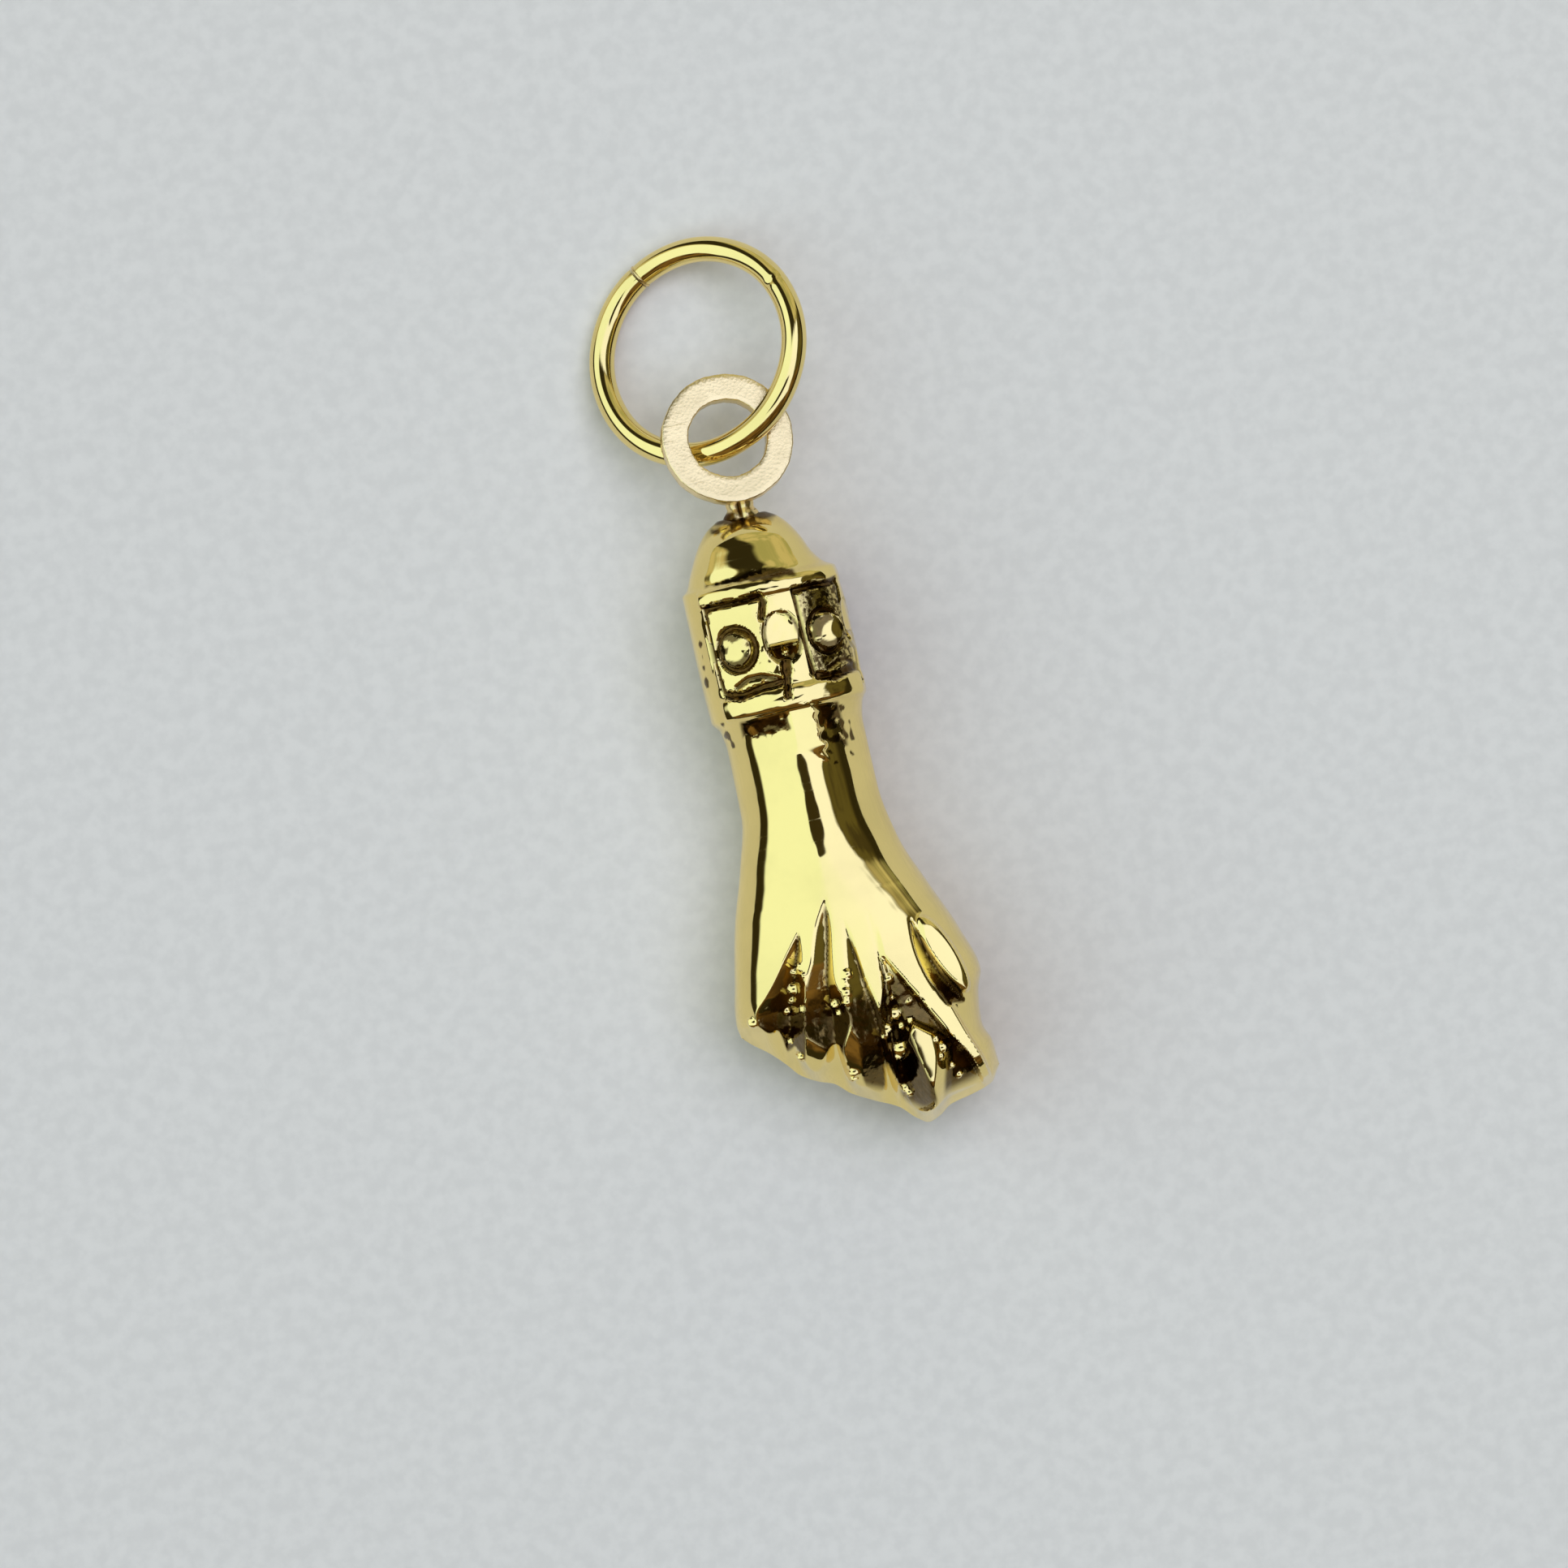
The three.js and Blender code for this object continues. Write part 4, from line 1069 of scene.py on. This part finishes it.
@dataclass
class HandHalf:
    """One hollow half of the hand, struck from sheet."""

    side: Side
    name: str
    form: HandForm
    origin: Vector
    inside_start: float = -0.5
    inside_rows: tuple[int, int] = (60, 24)
    inside_columns: int = 40

    def unevenness(self, places: Array, rough: Array) -> Array:
        """Faint waves of struck sheet, stronger on the cuff and on rough ground.

        Args:
            places: places in millimetres.
            rough: 1 on rough ground.

        Returns:
            The height of the waves.
        """
        on_cuff = soft(places[:, 1], -4.8, -4.6) * soft(-places[:, 1], 1.55, 1.75)
        small = 0.0045 * on_cuff + 0.006 * rough
        waves = ((1.4, 5, 0.0035), (0.5, 6, 0.0005), (0.33, 7, small), (0.16, 8, 0.003 * rough))
        return sum(lattice_noise(places, scale, seed) * height for scale, seed, height in waves)

    def sheet(self, rows: Array, columns: int, wall: float) -> Object:
        """Makes one skin of the half from a plain grid.

        Args:
            rows: the rows' ends.
            columns: steps from left to right.
            wall: 0 for the outside, else the wall's thickness.

        Returns:
            The skin as an object of its own.
        """
        clear_selection()
        bpy.ops.mesh.primitive_grid_add(x_subdivisions=columns, y_subdivisions=len(rows) - 1, size=2)
        obj = bpy.context.object
        plain = read_places(obj)
        row = np.rint((1 - plain[:, 1]) / 2 * (len(rows) - 1)).astype(int)
        column = np.rint((plain[:, 0] + 1) / 2 * columns).astype(int)
        skin = self.form.skin(self.side, rows, columns, wall)
        x, y, z, shade_and_rough_ground, stipple = (part[row, column] for part in (skin.x, skin.y, skin.z, skin.shade_and_rough_ground, skin.stipple))
        edge = (column == 0) | (column == columns) | (row == len(rows) - 1)
        height = np.where(edge, 0.0, np.maximum(z, 0.001))
        places = np.stack([x, y, self.side.value * (self.form.seam / 2 + height)], 1)
        if not wall:
            places[:, 2] += self.unevenness(places, shade_and_rough_ground) * unit(height / 0.4)
        write_places(obj, places * MM + np.array(self.origin))
        # The first mask darkens the metal as painted shade and dark reflections and roughens it; the second marks
        # stippled ground.
        write_mask(obj, "shade_and_rough_ground", shade_and_rough_ground)
        write_mask(obj, "stipple", stipple)
        edit_chosen(obj, row == 0)
        bpy.ops.mesh.edge_face_add()
        bpy.ops.mesh.select_all(action="SELECT")
        if (self.side is Side.PALM) != bool(wall):
            bpy.ops.mesh.flip_normals()
        bpy.ops.object.mode_set(mode="OBJECT")
        return obj

    def build(self) -> Object:
        """Makes the hollow half.

        Returns:
            The finished piece.
        """
        outside = self.sheet(self.form.outer_rows(), self.form.columns, 0.0)
        inner_rows = self.form.rows(self.inside_start, *self.inside_rows)
        inside = self.sheet(inner_rows, self.inside_columns, self.form.side_wall)
        only(outside)
        inside.select_set(True)
        bpy.ops.object.join()
        edit_chosen(outside, open_edges(outside))
        bpy.ops.mesh.bridge_edge_loops()
        bpy.ops.object.mode_set(mode="OBJECT")
        return complete(outside, self.name, 48)


@dataclass
class SeamSolder:
    """The thin line of solder between the two halves."""

    form: HandForm
    origin: Vector
    width: float = 0.2

    def build(self) -> Object:
        """Makes the loop of solder.

        Returns:
            The finished piece.
        """
        skin = self.form.skin(Side.BACK_OF_HAND, self.form.outer_rows(), self.form.columns)
        rim = np.stack([skin.x, skin.y], -1)
        outer = np.concatenate([rim[:-1, 0], rim[-1, :-1], rim[::-1, -1]])
        ahead = np.roll(outer, -3, axis=0) - np.roll(outer, 3, axis=0)
        ahead /= np.linalg.norm(ahead, axis=1)[:, None]
        inner = outer + np.stack([-ahead[:, 1], ahead[:, 0]], 1) * self.width
        low = np.full(len(outer), -self.form.seam / 2)
        loops = [np.column_stack([loop, low]) * MM + np.array(self.origin) for loop in (outer, inner)]
        obj = flat_band(loops, self.form.seam * MM)
        obj.name = "seam_line"
        return obj


# ---- Eye and ring ----


@dataclass
class HangingEye:
    """The flat stamped washer that the ring passes through."""

    origin: Vector
    middle: tuple[float, float, float] = (0.04, 1.78, 0.18)
    outer: float = 1.56
    hole: float = 0.935
    thick: float = 0.36
    lean: float = 15.8
    toward: float = 45.0
    steps: int = 192
    edge: float = 0.03

    def place(self) -> Matrix:
        """Where the washer stands: its own frame in the object's frame."""
        lean, toward = math.radians(self.lean), math.radians(self.toward)
        normal = Vector((math.sin(lean) * math.cos(toward), math.sin(lean) * math.sin(toward), math.cos(lean)))
        turn = Vector((0, 0, 1)).rotation_difference(normal).to_matrix().to_4x4()
        return Matrix.Translation(Vector(self.middle) * MM + self.origin) @ turn

    def build(self) -> Object:
        """Makes the washer.

        Returns:
            The finished piece.
        """
        turn = np.arange(self.steps) * 2 * math.pi / self.steps
        circle = np.column_stack([np.cos(turn), np.sin(turn), 0 * turn])
        low = np.array([0, 0, -self.thick / 2 * MM])
        ratios = (1.0, 0.9, 0.78, 0.68, self.hole / self.outer)
        obj = flat_band([circle * self.outer * ratio * MM + low for ratio in ratios], self.thick * MM)
        bevel(obj, "sheared edge", self.edge, 50)
        places = read_places(obj)
        flat = places / MM
        turn, radius = polar(flat)
        waver = 0.006 * np.sin(7 * turn + 0.4) + 0.004 * np.sin(19 * turn) + 0.003 * np.sin(41 * turn + 1.0)
        places[:, :2] *= (1 + waver / radius)[:, None] - 0.004
        places[:, 2] += lattice_noise(flat, 0.9, 11) * 0.002 * MM
        write_places(obj, places)
        obj.data.transform(self.place())
        return complete(obj, "flat_eye", 40)


@dataclass
class EyeSolder:
    """The lump of solder that holds the eye to the top of the arm."""

    origin: Vector
    arm_top: float
    middle: tuple[float, float, float] = (0.0, 0.1, 0.14)
    half: float = 0.3
    half_length: float = 0.4
    fold_x: float = -0.02

    def build(self) -> Object:
        """Makes the neck of solder.

        Returns:
            The finished piece.
        """
        clear_selection()
        bpy.ops.mesh.primitive_ico_sphere_add(subdivisions=6, radius=1.0)
        obj = bpy.context.object
        x, y, z = read_places(obj).T
        upper, lower = unit(y), unit(0.1 - y)
        waist = self.half + 0.16 * upper + 0.3 * lower
        shaped = np.stack([x * waist, y * self.half_length, z * (self.half + 0.12 * lower)], 1) + np.array(self.middle)
        shaped[:, 0] -= 0.1 * lower * (x < 0)
        from_fold = np.abs(shaped[:, 0] - self.fold_x)
        shaped[:, 2] -= 0.09 * unit(1 - from_fold / 0.13) * unit(z)
        shaped[:, 2] += lattice_noise(shaped, 0.35, 3) * (0.008 + 0.03 * lower)
        write_places(obj, shaped * MM + np.array(self.origin))
        # Painted shadow of the washer on the lump's lower left, and painted shade in its fold.
        left = soft(-shaped[:, 0], 0.1, 0.2) * soft(0.12 - shaped[:, 1], 0, 0.08)
        write_mask(obj, "shade_and_rough_ground", np.maximum(left, soft(0.07 - from_fold, 0, 0.04)))
        edit_all(obj)
        cut = self.origin + Vector((0, self.arm_top, 0)) * MM
        bpy.ops.mesh.bisect(plane_co=cut, plane_no=(0, 1, 0), clear_inner=True, use_fill=True)
        bpy.ops.object.mode_set(mode="OBJECT")
        return complete(obj, "eye_solder_lump", 50)


@dataclass
class JumpRing:
    """The round wire ring, its ends meeting in a soldered butt joint."""

    origin: Vector
    middle: tuple[float, float, float] = (-0.185, 3.965, -0.6)
    radius: float = 2.49
    wire: float = 0.3
    slope: float = 27.5
    low: float = 142.0
    joint: float = 245.0
    gap: float = 0.05
    nick: float = -91.0
    sides: int = 40
    steps: int = 220

    def place(self) -> Matrix:
        """Finds how the ring lies.

        Returns:
            Its own frame in the object's frame, turned so that its joint is on local +X.
        """
        low, slope = math.radians(self.low), math.radians(self.slope)
        low_way = Vector((math.cos(low), math.sin(low), 0))
        level_way = Vector((-low_way.y, low_way.x, 0))
        up_way = low_way * -math.cos(slope) + Vector((0, 0, math.sin(slope)))
        axes = Matrix((level_way, up_way, level_way.cross(up_way))).transposed().to_4x4()
        turn = Matrix.Rotation(math.radians(self.joint), 4, "Z")
        return Matrix.Translation(Vector(self.middle) * MM + self.origin) @ axes @ turn

    def build(self) -> Object:
        """Makes the wire.

        Returns:
            The finished piece.
        """
        half_gap = self.gap / 2 / self.radius
        clear_selection()
        bpy.ops.mesh.primitive_circle_add(
            vertices=self.sides, radius=self.wire * MM, fill_type="NGON", rotation=(math.pi / 2, 0, 0),
            location=(self.radius * MM, 0, 0),
        )
        obj = bpy.context.object
        bpy.ops.object.transform_apply(location=True, rotation=True)
        obj.data.transform(Matrix.Rotation(half_gap, 4, "Z"))
        edit_all(obj)
        bpy.ops.mesh.spin(
            steps=self.steps, angle=2 * math.pi - 2 * half_gap, center=(0, 0, 0), axis=(0, 0, 1), use_auto_merge=False,
        )
        bpy.ops.mesh.select_all(action="SELECT")
        bpy.ops.mesh.remove_doubles(threshold=1e-7)
        face_outward()
        places = read_places(obj)
        flat = places / MM
        turn, radius = polar(flat)
        swell = 0.004 * np.sin(3 * turn + 0.7) + 0.003 * np.sin(8 * turn)
        outward = (radius - self.radius) / self.wire
        end = np.exp(-((np.abs(turn) / 0.05) ** 2))
        nick = np.exp(-(((turn - math.radians(self.nick)) / 0.03) ** 2)) * unit(flat[:, 2] / self.wire + 0.2 * outward)
        places[:, :2] *= (1 + (swell - 0.012 * end * outward) / radius)[:, None]
        places[:, 2] *= 1 - 0.12 * nick - 0.04 * end
        write_places(obj, places)
        obj.data.transform(self.place())
        return complete(obj, "ring_wire", 50)


@dataclass
class RingSolder:
    """Solder in the ring's butt joint, a little proud of the wire."""

    ring: JumpRing
    proud: float = 0.012
    edge: float = 0.018

    def build(self) -> Object:
        """Makes the bead.

        Returns:
            The finished piece.
        """
        clear_selection()
        bpy.ops.mesh.primitive_cylinder_add(
            vertices=self.ring.sides, radius=(self.ring.wire + self.proud) * MM, depth=self.ring.gap * 1.2 * MM,
            rotation=(math.pi / 2, 0, 0), location=(self.ring.radius * MM, 0, 0),
        )
        obj = bpy.context.object
        bpy.ops.object.transform_apply(location=True, rotation=True)
        bevel(obj, "melted edge", self.edge, 30)
        obj.data.transform(self.ring.place())
        return complete(obj, "ring_joint_bead", 40)


# ---- Table, light and camera ----


@dataclass
class Studio:
    """A pale table, a soft bright ceiling with darker surroundings, and the camera above.

    The colours of the surroundings are what the gold mirrors, each pair for a patchy side of the room.
    """

    origin: Vector
    table_colour: Colour = (0.79, 0.77, 0.718, 1)
    ceiling_left: Colour = (1.02, 1.23, 1.28, 1)
    ceiling_right: Colour = (1.11, 1.24, 1.7, 1)
    right_side: tuple[Colour, Colour] = ((0.06, 0.05, 0.02, 1), (0.11, 0.097, 0.034, 1))
    near_side: tuple[Colour, Colour] = ((0.07, 0.042, 0.015, 1), (0.19, 0.115, 0.04, 1))
    far_corners: tuple[Colour, Colour] = ((0.4, 0.42, 0.24, 1), (0.6, 0.57, 0.38, 1))
    far_side: Colour = (0.03, 0.026, 0.012, 1)
    horizon: Colour = (0.03, 0.025, 0.01, 1)
    overhead: Colour = (0.04, 0.032, 0.012, 1)
    backdrop: Colour = (0.62, 0.64, 0.62, 1)
    aim: tuple[float, float, float] = (-0.4, -6.4, 0.0)
    frame_width: float = 36.8
    distance: float = 300.0
    roll: float = -12.5
    sensor: float = 36.0

    def table(self) -> None:
        """Lays the table under the charm."""
        clear_selection()
        bpy.ops.mesh.primitive_plane_add(size=1.2)
        floor = bpy.context.object
        floor.name = "table"
        material = bpy.data.materials.new("pale card")
        material.use_nodes = True
        surface = material.node_tree.nodes["Principled BSDF"].inputs
        bench = NodeBench(material.node_tree)
        noise = bench.noise(bench.add("ShaderNodeTexCoord").outputs["Object"], 2600.0, 3.0)
        card = bench.mix(bench.ramp(noise, 0.3, 0.7), self.table_colour, shade(self.table_colour, 0.93))
        bench.feed(card, surface["Base Color"])
        surface["Roughness"].default_value = 0.9
        surface["Specular IOR Level"].default_value = 0.1
        floor.data.materials.append(material)

    def sky(self) -> None:
        """Paints the surroundings: a bright ceiling toward the left, dark elsewhere, pale to the camera."""
        world = bpy.data.worlds.new("room")
        bpy.context.scene.world = world
        world.use_nodes = True
        world.node_tree.nodes.clear()
        bench = NodeBench(world.node_tree)
        way = bench.add("ShaderNodeTexCoord").outputs["Generated"]
        x, y, z = bench.add("ShaderNodeSeparateXYZ", Vector=way).outputs
        drift = bench.times(bench.minus(bench.noise(way, 6.0, 2.0), 0.5), 0.12)
        across, along = bench.plus(x, drift), bench.minus(y, drift)

        # The bright ceiling, with the dark place straight overhead where the camera stands.
        far_edge = bench.minus(bench.ramp(across, -0.5, -0.25, 0.69, 0.5), along)
        bright = bench.times(bench.ramp(across, 0.6, 0.66, 1.0, 0.0), bench.ramp(z, 0.2, 0.27))
        bright = bench.times(bright, bench.ramp(along, -0.44, -0.38))
        bright = bench.times(bright, bench.ramp(far_edge, -0.02, 0.05))
        wide = bench.math("DIVIDE", bench.math("ABSOLUTE", x), 0.27)
        tall = bench.math("DIVIDE", bench.math("ABSOLUTE", bench.minus(y, 0.01)), 0.13)
        oval = bench.plus(wide, bench.math("POWER", tall, 1.6))
        above = bench.times(bench.ramp(oval, 0.88, 1.08, 1.0, 0.0), bench.ramp(z, 0.0, 0.1))
        bright = bench.times(bright, bench.minus(1.0, above))

        # The sides of the room: near, right and far, with lighter far corners and a dark horizon.
        patches = bench.ramp(bench.noise(way, 5.0, 3.0), 0.38, 0.62)
        pairs = (self.right_side, self.near_side, self.far_corners)
        right, near, corners = (bench.mix(patches, *pair) for pair in pairs)
        leaning = bench.plus(across, bench.times(bench.minus(along, 0.68), 1.1))
        beside = bench.math("MAXIMUM", bench.ramp(leaning, 0.1, 0.25), bench.ramp(leaning, -0.55, -0.4, 1.0, 0.0))
        dark = bench.mix(bench.ramp(along, -0.3, -0.18), near, right)
        dark = bench.mix(bench.ramp(along, 0.46, 0.56), dark, bench.mix(beside, self.far_side, corners))
        low = bench.times(bench.ramp(z, 0.16, 0.3, 1.0, 0.0), bench.ramp(along, 0.48, 0.58, 1.0, 0.0))
        dark = bench.mix(above, bench.mix(low, dark, self.horizon), self.overhead)

        lamp = bench.mix(bench.ramp(x, -0.25, 0.2), self.ceiling_left, self.ceiling_right)
        lit = bench.add("ShaderNodeBackground", Color=bench.mix(bright, dark, lamp))
        plain = bench.add("ShaderNodeBackground", Color=self.backdrop)
        rays = bench.add("ShaderNodeLightPath").outputs["Is Camera Ray"]
        choose = bench.add("ShaderNodeMixShader")
        for output, socket in zip((rays, lit.outputs[0], plain.outputs[0]), choose.inputs):
            bench.feed(output, socket)
        bench.add("ShaderNodeOutputWorld", Surface=choose.outputs[0])

    def lamp(self) -> None:
        """Adds a broad soft lamp that brightens the table without showing in the metal."""
        data = bpy.data.lights.new("room fill", "AREA")
        data.shape = "DISK"
        data.size = 0.35
        data.energy = 0.55
        data.color = (1.0, 0.95, 0.98)
        lamp = bpy.data.objects.new("room fill", data)
        bpy.context.scene.collection.objects.link(lamp)
        lamp.location = (0.12, 0.1, 0.42)
        lamp.rotation_euler = (-lamp.location).to_track_quat("-Z", "Y").to_euler()
        lamp.visible_glossy = False

    def camera(self) -> None:
        """Sets the camera straight above, turned as the photograph was."""
        data = bpy.data.cameras.new("camera")
        data.sensor_width = self.sensor
        data.lens = self.sensor * self.distance / self.frame_width
        data.clip_start = 0.002
        data.clip_end = 10.0
        camera = bpy.data.objects.new("camera", data)
        bpy.context.scene.collection.objects.link(camera)
        camera.location = (Vector(self.aim) + Vector((0, 0, self.distance))) * MM + self.origin
        camera.rotation_euler = (0, 0, math.radians(self.roll))
        bpy.context.scene.camera = camera

    def build(self) -> None:
        """Sets up the whole stage."""
        self.table()
        self.sky()
        self.lamp()
        self.camera()
        bpy.context.scene.view_settings.view_transform = "Standard"


# ---- The whole charm ----


def middle_of_frame(form: HandForm) -> Vector:
    """Finds where the drawing's zero, the top of the arm on the seam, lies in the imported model.

    Args:
        form: the hand's form.

    Returns:
        That point in metres.
    """
    low_eye, high_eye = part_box("hanging_eye")
    low_seam, high_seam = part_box("seam_solder")
    _, high_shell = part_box("front_shell")
    return Vector((
        (low_eye.x + high_eye.x) / 2 - HangingEye.middle[0] * MM,
        high_shell.y - form.arm_top * MM,
        (low_seam.z + high_seam.z) / 2,
    ))


def place_piece(obj: Object, material: bpy.types.Material, body: str, node: str) -> None:
    """Dresses a piece and ties it to the frame.

    Args:
        obj: the finished mesh.
        material: its material.
        body: the body that it moves with.
        node: the solid that it stands for.
    """
    obj.data.materials.clear()
    obj.data.materials.append(material)
    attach(obj, body)
    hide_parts(node)
    LOG.info("%s: %d faces, on %s, stands for %s", obj.name, len(obj.data.polygons), body, node)


def main() -> None:
    """Builds the charm, its table, light and camera."""
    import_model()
    form = HandForm()
    origin = middle_of_frame(form)
    effects = MetalEffects()
    metals = {finish.slot: finish.build(effects) for finish in (POLISHED_GOLD, SATIN_GOLD, GOLD_SOLDER)}
    back = HandHalf(Side.BACK_OF_HAND, "back_of_hand_half", form, origin)
    ring = JumpRing(origin)
    work = (
        (back, POLISHED_GOLD, "hand", "front_shell"),
        (HandHalf(Side.PALM, "palm_half", form, origin), POLISHED_GOLD, "hand", "back_shell"),
        (SeamSolder(form, origin), GOLD_SOLDER, "hand", "seam_solder"),
        (HangingEye(origin), SATIN_GOLD, "hand", "hanging_eye"),
        (EyeSolder(origin, form.arm_top), GOLD_SOLDER, "hand", "eye_solder"),
        (ring, POLISHED_GOLD, "ring", "jump_ring"),
        (RingSolder(ring), GOLD_SOLDER, "ring", "jump_ring_solder"),
    )
    for maker, finish, body, node in work:
        place_piece(maker.build(), metals[finish.slot], body, node)
    Studio(origin).build()


if __name__ == "__main__":
    main()
